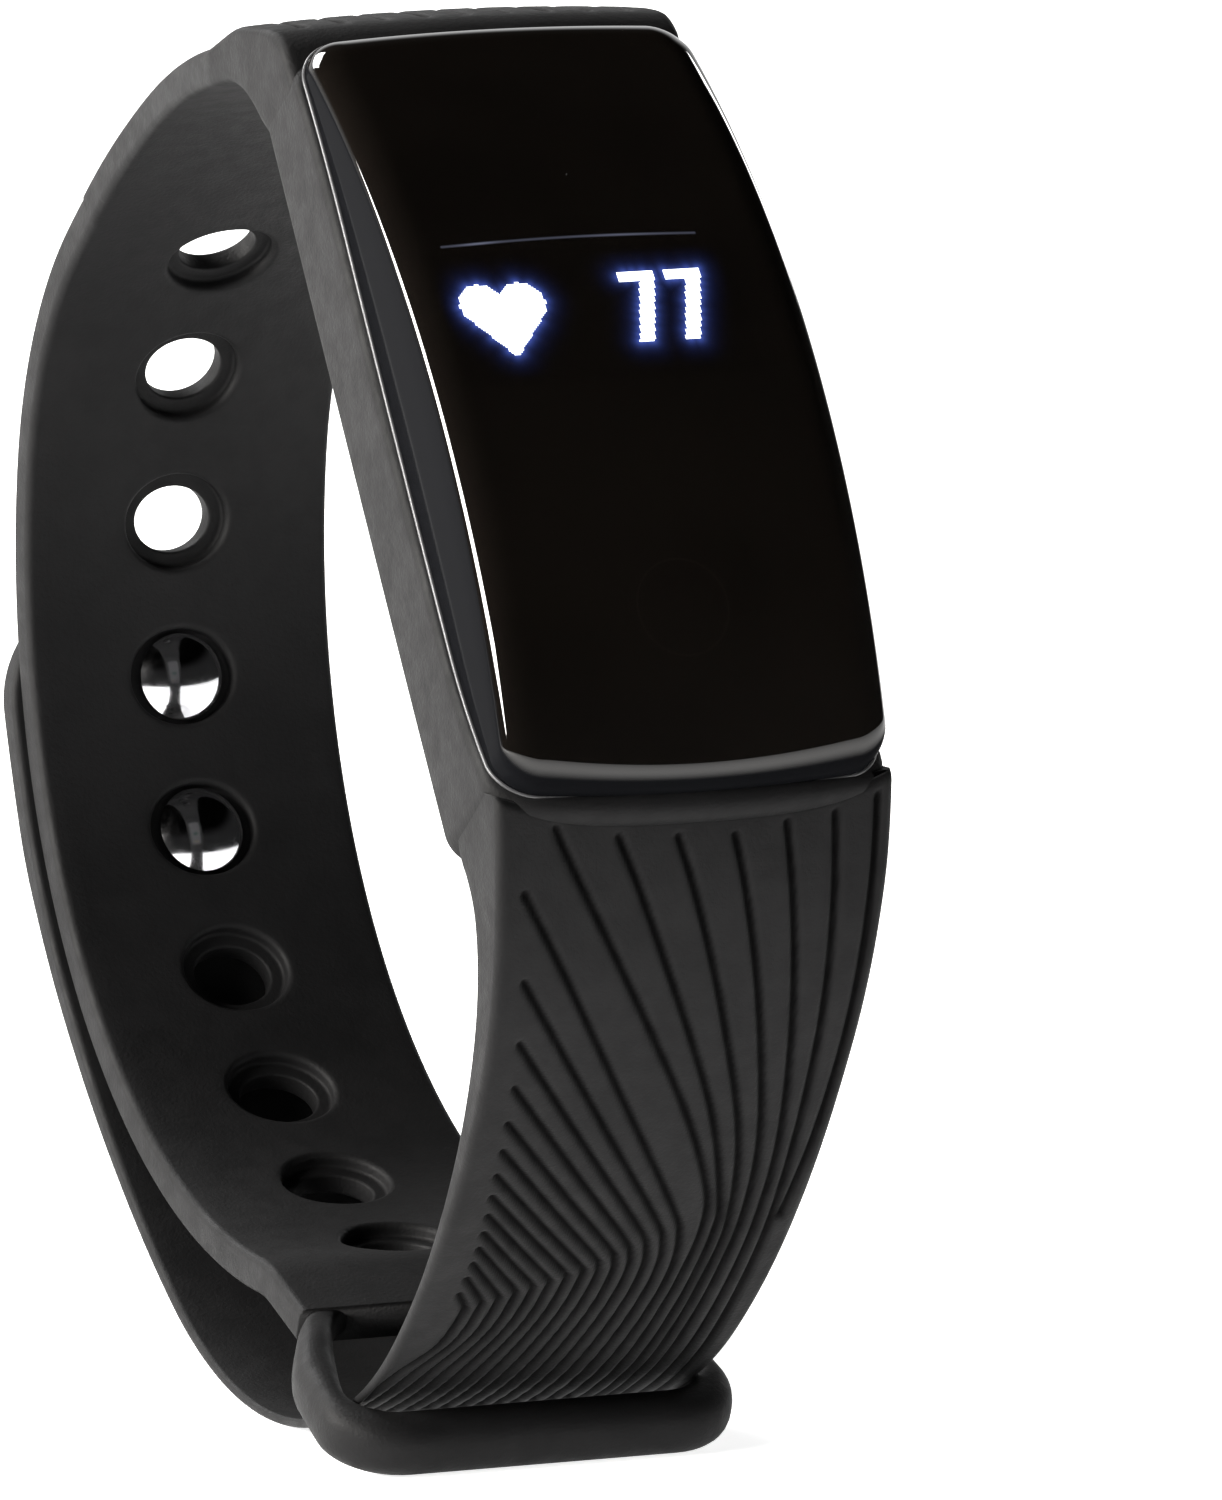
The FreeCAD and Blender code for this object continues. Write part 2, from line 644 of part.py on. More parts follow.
def oled_panel():
    glass = block((-7.0, 7.0), OLED_Y, (6.0, 6.6))
    cover = block((-6.6, 6.6), (OLED_Y[0] + 0.5, OLED_Y[1] - 1.6), (6.6, 7.2))
    return glass.fuse(cover).removeSplitter()


def oled_flex():
    y = OLED_Y[1] + 0.45
    outline_yz = [
        point(OLED_Y[1] - 1.2, 6.6), point(OLED_Y[1] - 1.2, 6.7), point(y + 0.1, 6.7),
        point(y + 0.1, BOARD_HIGH), point(y, BOARD_HIGH), point(y, 6.6),
    ]
    return across(outline(outline_yz), 3.0)


def touch_electrode():
    gap = 0.05
    centre = V(-9, 0, WINDOW_PEAK - WINDOW_RADIUS)
    radius = WINDOW_RADIUS - WINDOW_WALL - gap
    shell = rod(radius, 18, centre, V(1, 0, 0)).cut(rod(radius - 0.15, 18, centre, V(1, 0, 0)))
    disc = rod(2.6, 20, V(0, -11.6, 0), V(0, 0, 1))
    return shell.common(disc)


def touch_spring():
    """Spring pin that joins the electrode to the board."""
    place = V(0, -11.6, BOARD_HIGH)
    return rod(0.9, 0.6, place, V(0, 0, 1)).fuse(rod(0.5, 1.2, place, V(0, 0, 1))).removeSplitter()


def battery_cell():
    body = block((-6.0, 6.0), (-13.2, 10.3), (2.1, 4.5))
    long_edges = [e for e in body.Edges if abs(e.tangentAt(e.FirstParameter).y) > 0.99]
    return body.makeFillet(0.7, long_edges)


def motor_can():
    start = V(-5.0, MOTOR_Y, MOTOR_Z)
    return rod(1.7, 6.0, start, V(1, 0, 0)).cut(rod(0.43, 8.0, start - V(1, 0, 0), V(1, 0, 0)))


def motor_shaft():
    return rod(0.4, 7.8, V(-3.4, MOTOR_Y, MOTOR_Z), V(1, 0, 0))


def motor_weight():
    low = V(1.9, MOTOR_Y, MOTOR_Z)
    disc = rod(1.5, 2.5, low, V(1, 0, 0))
    half = block((1, 5), (MOTOR_Y - 3, MOTOR_Y + 3), (MOTOR_Z - 3, MOTOR_Z))
    half.rotate(V(0, MOTOR_Y, MOTOR_Z), V(1, 0, 0), -POD_LEAN)      # the heavy side hangs down
    hub = rod(0.75, 2.5, low, V(1, 0, 0))
    body = disc.common(half).fuse(hub).removeSplitter()
    return body.cut(rod(0.4, 6, low - V(1, 0, 0), V(1, 0, 0)))


def sensor_board():
    return rounded_plan((4.4, 4.6), 1.2, 1.7, 0.8)


def light_shield():
    ring = flat_oval((3.2, 2.3), 0.0, 1.2).cut(flat_oval((2.9, 2.0), -1, 2))
    wall = block((0.45, 0.75), (-2.1, 2.1), (0.0, 1.2)).common(flat_oval((3.0, 2.1), -1, 2))
    return ring.fuse(wall).removeSplitter()


def green_leds():
    return Part.makeCompound([
        block((-1.8, -0.6), (y - 0.5, y + 0.5), (0.6, 1.2)) for y in (-0.85, 0.85)])


# ---------------------------------------------------------------- assembly
band_nodes = {
    "cradle_frame": cradle_frame(),
    "perforated_strap": perforated_strap(),
    "strap_loop": strap_loop(),
    "ridged_strap": ridged_strap(),
    "ridged_strap_end": ridged_strap_end(),
    "clasp_plate": clasp_plate(),
    "clasp_stud_lower": clasp_stud(STUD_HOLES[0]),
    "clasp_stud_upper": clasp_stud(STUD_HOLES[1]),
}

pod_nodes = {
    "display_window": display_window(),
    "window_adhesive": window_adhesive(),
    "mid_frame": mid_frame(),
    "case_gasket": case_gasket(),
    "rear_case": rear_case(),
    "sensor_window": sensor_window(),
    "charge_contacts": charge_contacts(),
    "main_board": main_board(),
    "main_chip": on_board(0.0, -6.0, (5.0, 5.0), 0.8),
    "motion_sensor": on_board(4.6, -6.0, (2.0, 2.0), 0.75),
    "clock_crystal": on_board(-4.8, -6.5, (1.2, 2.0), 0.5),
    "charge_chip": on_board(4.6, -9.4, (2.0, 2.0), 0.6),
    "antenna": on_board(0.0, 13.4, (5.0, 1.6), 0.5),
    "display_bracket": display_bracket(),
    "oled_panel": oled_panel(),
    "oled_flex": oled_flex(),
    "touch_electrode": touch_electrode(),
    "touch_spring": touch_spring(),
    "battery_cell": battery_cell(),
    "battery_pad": block((-5.5, 5.5), (-12.5, 9.5), (4.5, BOARD_LOW)),
    "motor_can": motor_can(),
    "motor_shaft": motor_shaft(),
    "motor_weight": motor_weight(),
    "sensor_board": sensor_board(),
    "light_shield": light_shield(),
    "green_leds": green_leds(),
    "photodiode": block((1.0, 2.4), (-0.8, 0.8), (0.6, 1.2)),
}

nodes = dict(band_nodes)
for name, shape in pod_nodes.items():
    nodes[name] = pod_place(shape)

whole = FreeCAD.BoundBox()
for name in band_nodes:
    whole.add(nodes[name].optimalBoundingBox(False, False))
home = V(-(whole.XMin + whole.XMax) / 2, -(whole.YMin + whole.YMax) / 2, -whole.ZMin)

os.makedirs("parts", exist_ok=True)
for name, shape in nodes.items():
    shape = shape.copy()
    shape.translate(home)
    shape.exportStep("parts/" + name + ".step")
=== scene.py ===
import json
import math
import bmesh
import bpy
import numpy as np
from mathutils import Matrix, Vector


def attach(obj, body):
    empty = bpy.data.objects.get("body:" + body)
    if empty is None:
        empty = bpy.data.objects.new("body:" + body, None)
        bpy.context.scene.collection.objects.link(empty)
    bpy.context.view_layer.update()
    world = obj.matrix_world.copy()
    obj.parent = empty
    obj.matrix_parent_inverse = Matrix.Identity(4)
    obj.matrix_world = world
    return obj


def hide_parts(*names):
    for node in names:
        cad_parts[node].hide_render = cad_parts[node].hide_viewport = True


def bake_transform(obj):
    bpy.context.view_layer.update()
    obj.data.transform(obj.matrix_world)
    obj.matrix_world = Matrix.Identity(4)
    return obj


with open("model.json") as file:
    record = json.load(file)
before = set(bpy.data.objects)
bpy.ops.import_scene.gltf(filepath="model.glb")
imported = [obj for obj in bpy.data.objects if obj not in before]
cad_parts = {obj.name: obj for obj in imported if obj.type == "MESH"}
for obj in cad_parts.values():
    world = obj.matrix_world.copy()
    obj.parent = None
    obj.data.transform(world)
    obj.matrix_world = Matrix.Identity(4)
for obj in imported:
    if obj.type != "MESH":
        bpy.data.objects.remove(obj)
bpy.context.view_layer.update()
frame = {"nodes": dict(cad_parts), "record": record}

# driving dimensions, in mm where nothing else is said
MM = 0.001
HOME_Y, HOME_Z = 0.1272, 34.858     # middle of the big back arc in the row frame
POD_Y, POD_Z = -15.0, 10.1          # middle of the pod's wrist face, from the middle of the big arc
POD_LEAN = math.radians(53.9)
HOLES, PITCH, FIRST = 9, 7.14, 1.6  # strap holes, their spacing, the first from the start of the big arc
STUD_HOLES = (4, 5)                 # holes that the studs sit in, counted from 0 at the loop
BACK_R = 28.0                       # of the big arc, at the wrist face
PERF_T, RIDGE_T, LAYER = 1.7, 1.5, 0.1    # thickness of the two straps, and the gap between them
RIDGE_R = BACK_R + PERF_T + LAYER
PERF_HALF = 7.45                    # half width of the perforated strap beside its holes
EDGE = 0.38                         # rounding of its long edges
LOOP_L, LOOP_TILT = 15.4, 18.3      # straight run that carries the loop, its slope in degrees
POCKET_X, POCKET_T, POCKET_ROUND = 8.1, 17.5, 2.4    # half sizes of the pod's pocket, its corners


# ------------------------------------------------------------------ routes of the two straps
class Route:
    """Runs in the YZ plane, in mm, as the CAD model has them: (length, 0) is a straight one and
    (radius, degrees) an arc. The middle of the run numbered centred is the origin."""

    def __init__(self, heading, runs, centred):
        self.parts, place, turn, s = [], np.zeros(2), math.radians(heading), 0.0
        for size, sweep in runs:
            ahead = np.array([math.cos(turn), math.sin(turn)])
            left = np.array([-math.sin(turn), math.cos(turn)])
            if sweep == 0:
                self.parts.append([s, size, place, turn, 0.0])
                place, s = place + ahead * size, s + size
                continue
            side, angle = (1 if sweep > 0 else -1), math.radians(sweep)
            centre = place + left * size * side
            self.parts.append([s, size * abs(angle), centre, turn, size * side])
            turn += angle
            place = centre - np.array([-math.sin(turn), math.cos(turn)]) * size * side
            s += size * abs(angle)
        self.length = s
        shift = self.parts[centred][2].copy()
        for part in self.parts:
            part[2] = part[2] - shift

    def at(self, s, out=0.0):
        """Point at length s, moved out by so much from the wrist face."""
        part = next((p for p in self.parts if s <= p[0] + p[1] + 1e-9), self.parts[-1])
        start, _, place, turn, radius = part
        if radius == 0:
            ahead = np.array([math.cos(turn), math.sin(turn)])
            return place + ahead * (s - start) + np.array([math.sin(turn), -math.cos(turn)]) * out
        now = turn + (s - start) / radius
        return place + np.array([math.sin(now), -math.cos(now)]) * (radius + out)

    def frame(self, s):
        """Point at length s, and the outward direction there."""
        base = self.at(s)
        return base, self.at(s, 1.0) - base


def polar(index):
    """Degrees round the big arc of a strap hole."""
    return -90 + math.degrees((FIRST + PITCH * index) / BACK_R)


perf = Route(LOOP_TILT, [(LOOP_L, 0), (6.0, -LOOP_TILT), (BACK_R, 96.7), (17.15, 39.0), (43.0, 33.5)], 2)
BIG = perf.parts[2][0]              # length along the strap where the big arc starts
TIP_MARGIN = 4.4                    # from the upper stud to the free end
TIP_POLAR = -90 + math.degrees((FIRST + PITCH * STUD_HOLES[1]) / BACK_R + TIP_MARGIN / RIDGE_R)
ridge_runs = [(24.0, 25.9), (43.8, 24.0), (22.3, 69.6), (49.9, 20.5)]
ridge = Route(48.7 - sum(r[1] for r in ridge_runs), ridge_runs + [(RIDGE_R, TIP_POLAR + 41.3)], 4)
TIP = ridge.length


def stud_s(index):
    """Length along the ridged strap opposite a hole."""
    return TIP - math.radians(TIP_POLAR - polar(index)) * RIDGE_R


def pod(t, n):
    """Point of the pod's frame (along, outward) in the routes' frame."""
    c, s = math.cos(POD_LEAN), math.sin(POD_LEAN)
    return np.array([POD_Y + t * c - n * s, POD_Z + t * s + n * c])


def row(p):
    """mm about the big arc (x, y, z) to metres in the row frame."""
    p = np.asarray(p, float)
    return (p + np.array([0.0, HOME_Y, HOME_Z])) * MM


def pod_row(x, t, n):
    """Points of the pod's frame (across, along, outward) to metres in the row frame."""
    x, t, n = np.broadcast_arrays(np.asarray(x, float), t, n)
    c, s = math.cos(POD_LEAN), math.sin(POD_LEAN)
    return row(np.stack([x, POD_Y + t * c - n * s, POD_Z + t * s + n * c], -1))


# ------------------------------------------------------------------ mesh helpers
def weld(mesh, distance):
    """Joins points closer than the distance in metres and turns all faces outward."""
    bm = bmesh.new()
    bm.from_mesh(mesh)
    bmesh.ops.remove_doubles(bm, verts=bm.verts, dist=distance)
    bmesh.ops.recalc_face_normals(bm, faces=bm.faces)
    bm.to_mesh(mesh)
    bm.free()


def shade_smooth(mesh):
    """Rounded shading on every face."""
    mesh.polygons.foreach_set("use_smooth", [True] * len(mesh.polygons))


def paint(obj, name, values):
    """Value at each point that a material reads."""
    layer = obj.data.attributes.new(name, "FLOAT", "POINT")
    layer.data.foreach_set("value", np.asarray(values, np.float32).reshape(-1))


def build(name, verts, faces, material, body, merge=False):
    """Object from points and faces, riding on the body unless it is None."""
    mesh = bpy.data.meshes.new(name)
    mesh.from_pydata([tuple(v) for v in np.asarray(verts).reshape(-1, 3)], [], faces)
    mesh.validate()
    if merge:
        weld(mesh, 2e-6)
    shade_smooth(mesh)
    obj = bpy.data.objects.new(name, mesh)
    bpy.context.scene.collection.objects.link(obj)
    obj.data.materials.append(material)
    if body:
        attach(obj, body)
    return obj


def quads(nu, nv, close_v=False, close_u=False, flip=False):
    """Faces of an nu by nv grid of points."""
    i = np.arange(nu if close_u else nu - 1)
    j = np.arange(nv if close_v else nv - 1)
    i, j = np.meshgrid(i, j, indexing="ij")
    i2, j2 = (i + 1) % nu, (j + 1) % nv
    f = np.stack([i * nv + j, i2 * nv + j, i2 * nv + j2, i * nv + j2], -1).reshape(-1, 4)
    return (f[:, ::-1] if flip else f).tolist()


def lane(u):
    """Smooth step from 0 to 1."""
    u = np.clip(u, 0, 1)
    return u * u * (3 - 2 * u)


def smooth_table(keys):
    """Cubic through (s, value) keys, flat beyond both ends."""
    k = np.array(keys, float)
    slope = np.gradient(k[:, 1], k[:, 0])

    def value(s):
        s = np.clip(s, k[0, 0], k[-1, 0])
        i = np.clip(np.searchsorted(k[:, 0], s) - 1, 0, len(k) - 2)
        h = k[i + 1, 0] - k[i, 0]
        u = (s - k[i, 0]) / h
        return ((2 * u**3 - 3 * u**2 + 1) * k[i, 1] + (u**3 - 2 * u**2 + u) * h * slope[i]
                + (3 * u**2 - 2 * u**3) * k[i + 1, 1] + (u**3 - u**2) * h * slope[i + 1])
    return value


def spline(points, step):
    """Smooth open line through 2-D points, sampled about every step."""
    p = np.array(points, float)
    p = np.vstack([2 * p[0] - p[1], p, 2 * p[-1] - p[-2]])
    out = []
    for a, b, c, d in zip(p, p[1:], p[2:], p[3:]):
        n = max(2, int(np.linalg.norm(c - b) / step))
        u = np.linspace(0, 1, n, endpoint=False)[:, None]
        out.append(0.5 * (2 * b + (c - a) * u + (2 * a - 5 * b + 4 * c - d) * u**2
                          + (3 * b - a - 3 * c + d) * u**3))
    return np.vstack(out + [p[-2:-1]])


def ring_section(half, inner, outer, r_out, r_in, nf, ni=24):
    """Closed outline (x, offset) of a strap: outer face, edge, inner face, edge."""
    nc, ns = 6, 5                   # steps round a corner and points down an edge
    pts = []
    quarter = np.linspace(0, math.pi / 2, nc + 1)[1:-1]
    xs = np.linspace(-1, 1, nf)
    pts += [(x * (half - r_out), outer) for x in xs]
    pts += [(half - r_out + r_out * math.sin(a), outer - r_out + r_out * math.cos(a)) for a in quarter]
    pts += [(half, d) for d in np.linspace(outer - r_out, inner + r_in, ns)]
    pts += [(half - r_in + r_in * math.cos(a), inner + r_in - r_in * math.sin(a)) for a in quarter]
    pts += [(x * (half - r_in), inner) for x in np.linspace(1, -1, ni)]
    pts += [(-half + r_in - r_in * math.sin(a), inner + r_in - r_in * math.cos(a)) for a in quarter]
    pts += [(-half, d) for d in np.linspace(inner + r_in, outer - r_out, ns)]
    pts += [(-half + r_out - r_out * math.cos(a), outer - r_out + r_out * math.sin(a)) for a in quarter]
    return np.array(pts)


def sweep(sections, bases, outs):
    """Sections (n, m, 2) placed on lines of the YZ plane: vertices (n, m, 3) in metres."""
    sec, base, out = np.asarray(sections), np.asarray(bases), np.asarray(outs)
    yz = base[:, None, :] + sec[:, :, 1:2] * out[:, None, :]
    return row(np.concatenate([sec[:, :, 0:1], yz], -1))


# ------------------------------------------------------------------ materials
def node_material(name):
    """New material, its node tree and its shader."""
    m = bpy.data.materials.new(name)
    m.use_nodes = True
    tree = m.node_tree
    shader = tree.nodes["Principled BSDF"]
    return m, tree, shader


def add(tree, kind, **inputs):
    """New node with some of its inputs set."""
    n = tree.nodes.new(kind)
    for key, value in inputs.items():
        n.inputs[key.replace("_", " ")].default_value = value
    return n


def grain(tree, scale, detail=3.0, rough=0.6):
    """Noise that stays with the object, so many waves to the metre."""
    where = tree.nodes.new("ShaderNodeTexCoord")
    noise = add(tree, "ShaderNodeTexNoise", Scale=scale, Detail=detail, Roughness=rough)
    tree.links.new(where.outputs["Object"], noise.inputs["Vector"])
    return noise.outputs["Fac"]


def ramp(tree, source, low, high, a, b):
    """Smooth change from a to b while the source goes from low to high."""
    r = tree.nodes.new("ShaderNodeMapRange")
    r.interpolation_type = "SMOOTHSTEP"
    for key, value in (("From Min", low), ("From Max", high), ("To Min", a), ("To Max", b)):
        r.inputs[key].default_value = value
    tree.links.new(source, r.inputs["Value"])
    return r.outputs["Result"]


def tint(tree, factor, a, b):
    """Mix of two colours."""
    mix = tree.nodes.new("ShaderNodeMix")
    mix.data_type = "RGBA"
    mix.inputs[6].default_value = (*a, 1)
    mix.inputs[7].default_value = (*b, 1)
    tree.links.new(factor, mix.inputs[0])
    return mix.outputs[2]


def bump(tree, shader, height, distance, strength):
    """Fine relief of a shader; distance in metres."""
    b = add(tree, "ShaderNodeBump", Strength=strength, Distance=distance)
    tree.links.new(height, b.inputs["Height"])
    tree.links.new(b.outputs["Normal"], shader.inputs["Normal"])


def times_plus(tree, source, factor, other, clamp=False):
    """The source times a factor, plus another source."""
    n = tree.nodes.new("ShaderNodeMath")
    n.operation = "MULTIPLY_ADD"
    n.use_clamp = clamp
    n.inputs[1].default_value = factor
    tree.links.new(source, n.inputs[0])
    tree.links.new(other, n.inputs[2])
    return n.outputs[0]


def soft_rubber(name, dark, light):
    """Dull rubber; the cut attribute is 1 in the bottom of a groove, where it is duller and its colour is
    darkened as painted shade.
    """
    groove, rough = 0.08, 0.6       # share of the colour left in a groove (painted shade), roughness of the face
    m, tree, shader = node_material(name)
    cloud = ramp(tree, grain(tree, 160, 4), 0.3, 0.7, 0, 1)
    base = tint(tree, cloud, dark, light)
    cut = tree.nodes.new("ShaderNodeAttribute")
    cut.attribute_name = "cut"
    # painted shade: the colour is darkened towards the bottom of each cut, as the cut attribute says
    groove_shade_mix = tree.nodes.new("ShaderNodeMix")
    groove_shade_mix.data_type = "RGBA"
    groove_shade_mix.inputs[7].default_value = (*(c * groove for c in dark), 1)
    tree.links.new(cut.outputs["Fac"], groove_shade_mix.inputs[0])
    tree.links.new(base, groove_shade_mix.inputs[6])
    tree.links.new(groove_shade_mix.outputs[2], shader.inputs["Base Color"])
    uneven = ramp(tree, grain(tree, 900, 2), 0.3, 0.7, rough - 0.05, rough + 0.06)
    tree.links.new(times_plus(tree, cut.outputs["Fac"], 0.4, uneven, clamp=True),
                   shader.inputs["Roughness"])
    shader.inputs["Specular IOR Level"].default_value = 0.15
    fine = times_plus(tree, cut.outputs["Fac"], -2.2, grain(tree, 5200, 3, 0.65))
    bump(tree, shader, fine, 0.00005, 0.55)
    return m


def plain(name, color, rough, metallic=0.0, scale=1500, depth=0.00002, coat=0.0):
    """Moulded or metal finish with fine texture, small colour variation and uneven gloss."""
    vary = 0.15
    m, tree, shader = node_material(name)
    darker = tuple(c * (1 - vary) for c in color)
    lighter = tuple(min(1, c * (1 + vary)) for c in color)
    tree.links.new(tint(tree, ramp(tree, grain(tree, scale * 0.2), 0.3, 0.7, 0, 1), darker, lighter),
                   shader.inputs["Base Color"])
    tree.links.new(ramp(tree, grain(tree, scale * 0.5), 0.3, 0.7, rough * 0.85, min(1, rough * 1.15)),
                   shader.inputs["Roughness"])
    shader.inputs["Metallic"].default_value = metallic
    shader.inputs["Coat Weight"].default_value = coat
    shader.inputs["Coat Roughness"].default_value = 0.05
    if depth:
        bump(tree, shader, grain(tree, scale), depth, 0.5)
    return m


def black_glass():
    """Polished black window; its side walls and lower rounding, picked by the way they face, get a darker,
    barely reflecting copy of the glass as painted shade.
    """
    unshaded_axis = (0, -0.455, 1.074)    # the pod's outward direction, leaning to its upper end; faces turned this way keep the full gloss
    m, tree, shader = node_material("window_gloss")
    smear = ramp(tree, grain(tree, 90, 3), 0.35, 0.7, 0, 1)
    tree.links.new(tint(tree, smear, (0.0042, 0.0034, 0.0028), (0.0055, 0.0044, 0.0036)),
                   shader.inputs["Base Color"])
    tree.links.new(ramp(tree, grain(tree, 400, 3), 0.3, 0.8, 0.025, 0.05), shader.inputs["Roughness"])
    shader.inputs["Specular IOR Level"].default_value = 0.45
    shader.inputs["Coat Weight"].default_value = 0.5
    shader.inputs["Coat Roughness"].default_value = 0.02
    # darker, barely reflecting copy of the glass for the side walls and lower rounding: painted shade
    wall = add(tree, "ShaderNodeBsdfPrincipled", Roughness=0.06, IOR=1.07)
    wall.inputs["Base Color"].default_value = (0.005, 0.0052, 0.006, 1)
    wall.inputs["Specular IOR Level"].default_value = 0.10
    place = tree.nodes.new("ShaderNodeTexCoord")
    facing = tree.nodes.new("ShaderNodeVectorMath")
    facing.operation = "DOT_PRODUCT"
    facing.inputs[1].default_value = unshaded_axis
    tree.links.new(place.outputs["Normal"], facing.inputs[0])
    # faces turned away from that axis get the painted shade of the wall copy
    mix = tree.nodes.new("ShaderNodeMixShader")
    tree.links.new(ramp(tree, facing.outputs["Value"], 0.20, 0.45, 0, 1), mix.inputs[0])
    tree.links.new(wall.outputs[0], mix.inputs[1])
    tree.links.new(shader.outputs[0], mix.inputs[2])
    tree.links.new(mix.outputs[0], tree.nodes["Material Output"].inputs["Surface"])
    return m


def polished(name, color, rough):
    """Bare metal."""
    m, tree, shader = node_material(name)
    tree.links.new(tint(tree, ramp(tree, grain(tree, 700), 0.3, 0.7, 0, 1),
                        tuple(c * 0.92 for c in color), color), shader.inputs["Base Color"])
    shader.inputs["Metallic"].default_value = 1.0
    tree.links.new(ramp(tree, grain(tree, 1800), 0.3, 0.7, rough * 0.7, rough * 1.4),
                   shader.inputs["Roughness"])
    bump(tree, shader, grain(tree, 2500), 0.000002, 0.3)
    return m


def lit(name, color, strength):
    """Lit part of the display."""
    m, tree, shader = node_material(name)
    tree.links.new(tint(tree, ramp(tree, grain(tree, 3000), 0.2, 0.8, 0, 1),
                        tuple(c * 0.94 for c in color), color), shader.inputs["Emission Color"])
    shader.inputs["Base Color"].default_value = (0.02, 0.02, 0.02, 1)
    shader.inputs["Emission Strength"].default_value = strength
    shader.inputs["Roughness"].default_value = 0.05
    return m


def glow(name, color, strength):
    """Light mixed in by the fade attribute over what lies behind it."""
    m = bpy.data.materials.new(name)
    m.use_nodes = True
    tree = m.node_tree
    tree.nodes.remove(tree.nodes["Principled BSDF"])
    out = tree.nodes["Material Output"]
    fade = tree.nodes.new("ShaderNodeAttribute")
    fade.attribute_name = "fade"
    clear = tree.nodes.new("ShaderNodeBsdfTransparent")
    shine = add(tree, "ShaderNodeEmission", Color=(*color, 1), Strength=strength)
    mix = tree.nodes.new("ShaderNodeMixShader")
    tree.links.new(fade.outputs["Fac"], mix.inputs[0])
    tree.links.new(clear.outputs[0], mix.inputs[1])
    tree.links.new(shine.outputs[0], mix.inputs[2])
    tree.links.new(mix.outputs[0], out.inputs["Surface"])
    return m


RUBBER = soft_rubber("strap_rubber_finish", (0.0070, 0.0070, 0.0073), (0.0100, 0.0099, 0.0103))
GLASS = black_glass()
CHROME = polished("stud_chrome", (0.80, 0.80, 0.82), 0.10)

# ------------------------------------------------------------------ ridged strap
FACE_POINTS = 125                   # points across its outer face
CROWN = 0.12                        # rise of the middle of that face
TIP_ROUND, TIP_RIM = 5.3, 0.35      # rounding of the free end, seen flat and on edge
LINE_STEP = 0.06                    # spacing of the points along a cut
# (length along the strap, half width) and (length, thickness)
ridge_half = smooth_table([(-2, 9.5), (0, 9.42), (3, 9.27), (6, 9.08), (12, 8.76), (22, 8.5),
                           (36, 8.15), (50, 7.95), (62, 7.75), (90, 7.75)])
root_thick = smooth_table([(-2, 4.7), (1.5, 4.7), (2.4, 4.45), (3.2, 3.75), (4.4, 3.0), (6, 2.5),
                           (8, 2.12), (10.5, 1.8), (13.5, 1.5), (90, 1.5)])


def drift(x):
    """How far a cut moves sideways on its way down the strap."""
    return 0.19 * (7.4 - x)


def chevron_lines():
    """Thin cuts (x, s) that fan out of the cradle, bend together and run down the strap."""
    fan = [
        [(-6.6, 0.7), (-3.5, 6.0), (1.0, 13.5), (3.35, 18.4), (3.95, 21.0)],
        [(-3.65, 0.9), (-1.2, 6.2), (2.45, 13.9), (4.3, 19.4), (4.6, 21.4)],
        [(-0.85, 1.0), (1.9, 8.7), (4.15, 15.4), (5.12, 20.8)],
        [(1.85, 1.1), (3.65, 8.5), (5.25, 15.7), (5.75, 20.6)],
        [(4.3, 0.8), (5.3, 8.3), (6.25, 15.8), (6.5, 20.8)],
        [(6.6, 0.8), (6.85, 8.7), (7.05, 16.2), (7.2, 21.5)],
    ]
    ends = [3.95, 4.6, 5.15, 5.75, 6.5, 7.2]
    lines = [spline([(8.6, 0.7), (8.35, 7), (8.0, 15), (7.6, 20.8)], LINE_STEP)]
    for line, x in zip(fan, ends):
        lean = drift(x)
        lines.append(spline(line + [(x - 0.06 * lean, 24.5), (x - 0.5 * lean, 30), (x - lean, 36),
                                    (x - 1.1 * lean, 39)], LINE_STEP))
    starts = [(-8.0, 3.1), (-7.65, 7.0), (-7.4, 9.9), (-7.2, 12.15), (-7.1, 14.05), (-7.0, 15.6),
              (-6.95, 17.0), (-6.85, 18.25), (-6.75, 19.4), (-6.65, 20.5), (-6.6, 21.5), (-6.6, 22.5),
              (-6.6, 23.5), (-6.62, 24.6)]
    for k, start in enumerate(starts):
        x = 3.28 - 0.715 * k
        s = 21.6 + 0.31 * k
        soft = max(0.35, 2.2 - 0.28 * k)
        lean = drift(x)
        here = np.array(start)
        bend = np.array([x, s])
        way = (bend - here) / np.linalg.norm(bend - here)
        reach = min(soft, 0.6 * np.linalg.norm(bend - here))
        line = [here, here + (bend - here) * 0.5, bend - way * reach]
        corner = [bend * 0.5 + (bend - way * reach) * 0.25 + np.array([x, s + soft]) * 0.25]
        down = [(x, s + soft), (x - 0.12 * lean, s + soft + 2.5), (x - 0.6 * lean, 31), (x - lean, 35.5)]
        lines.append(spline([tuple(p) for p in line + corner] + down, LINE_STEP))
    return lines


def cut_depth(xs_grid, s_list, lines, reach=0.42):
    """Distance from each (station, across) grid point to the nearest cut, up to reach."""
    near = np.full(xs_grid.shape, reach)
    s_arr = np.asarray(s_list)
    for line in lines:
        for x, s in line:
            i0, i1 = np.searchsorted(s_arr, [s - reach, s + reach])
            if i1 <= i0:
                continue
            block = xs_grid[i0:i1]
            j = np.where(np.abs(block[(i1 - i0) // 2] - x) < reach)[0]
            if len(j) == 0:
                continue
            j0, j1 = j[0], j[-1] + 1
            d = np.hypot(block[:, j0:j1] - x, s_arr[i0:i1, None] - s)
            near[i0:i1, j0:j1] = np.minimum(near[i0:i1, j0:j1], d)
    return near


def cut_mark(near):
    """1 in the bottom of a cut and 0 beside it, from the distance to its line."""
    return lane(1.25 - near / 0.22)


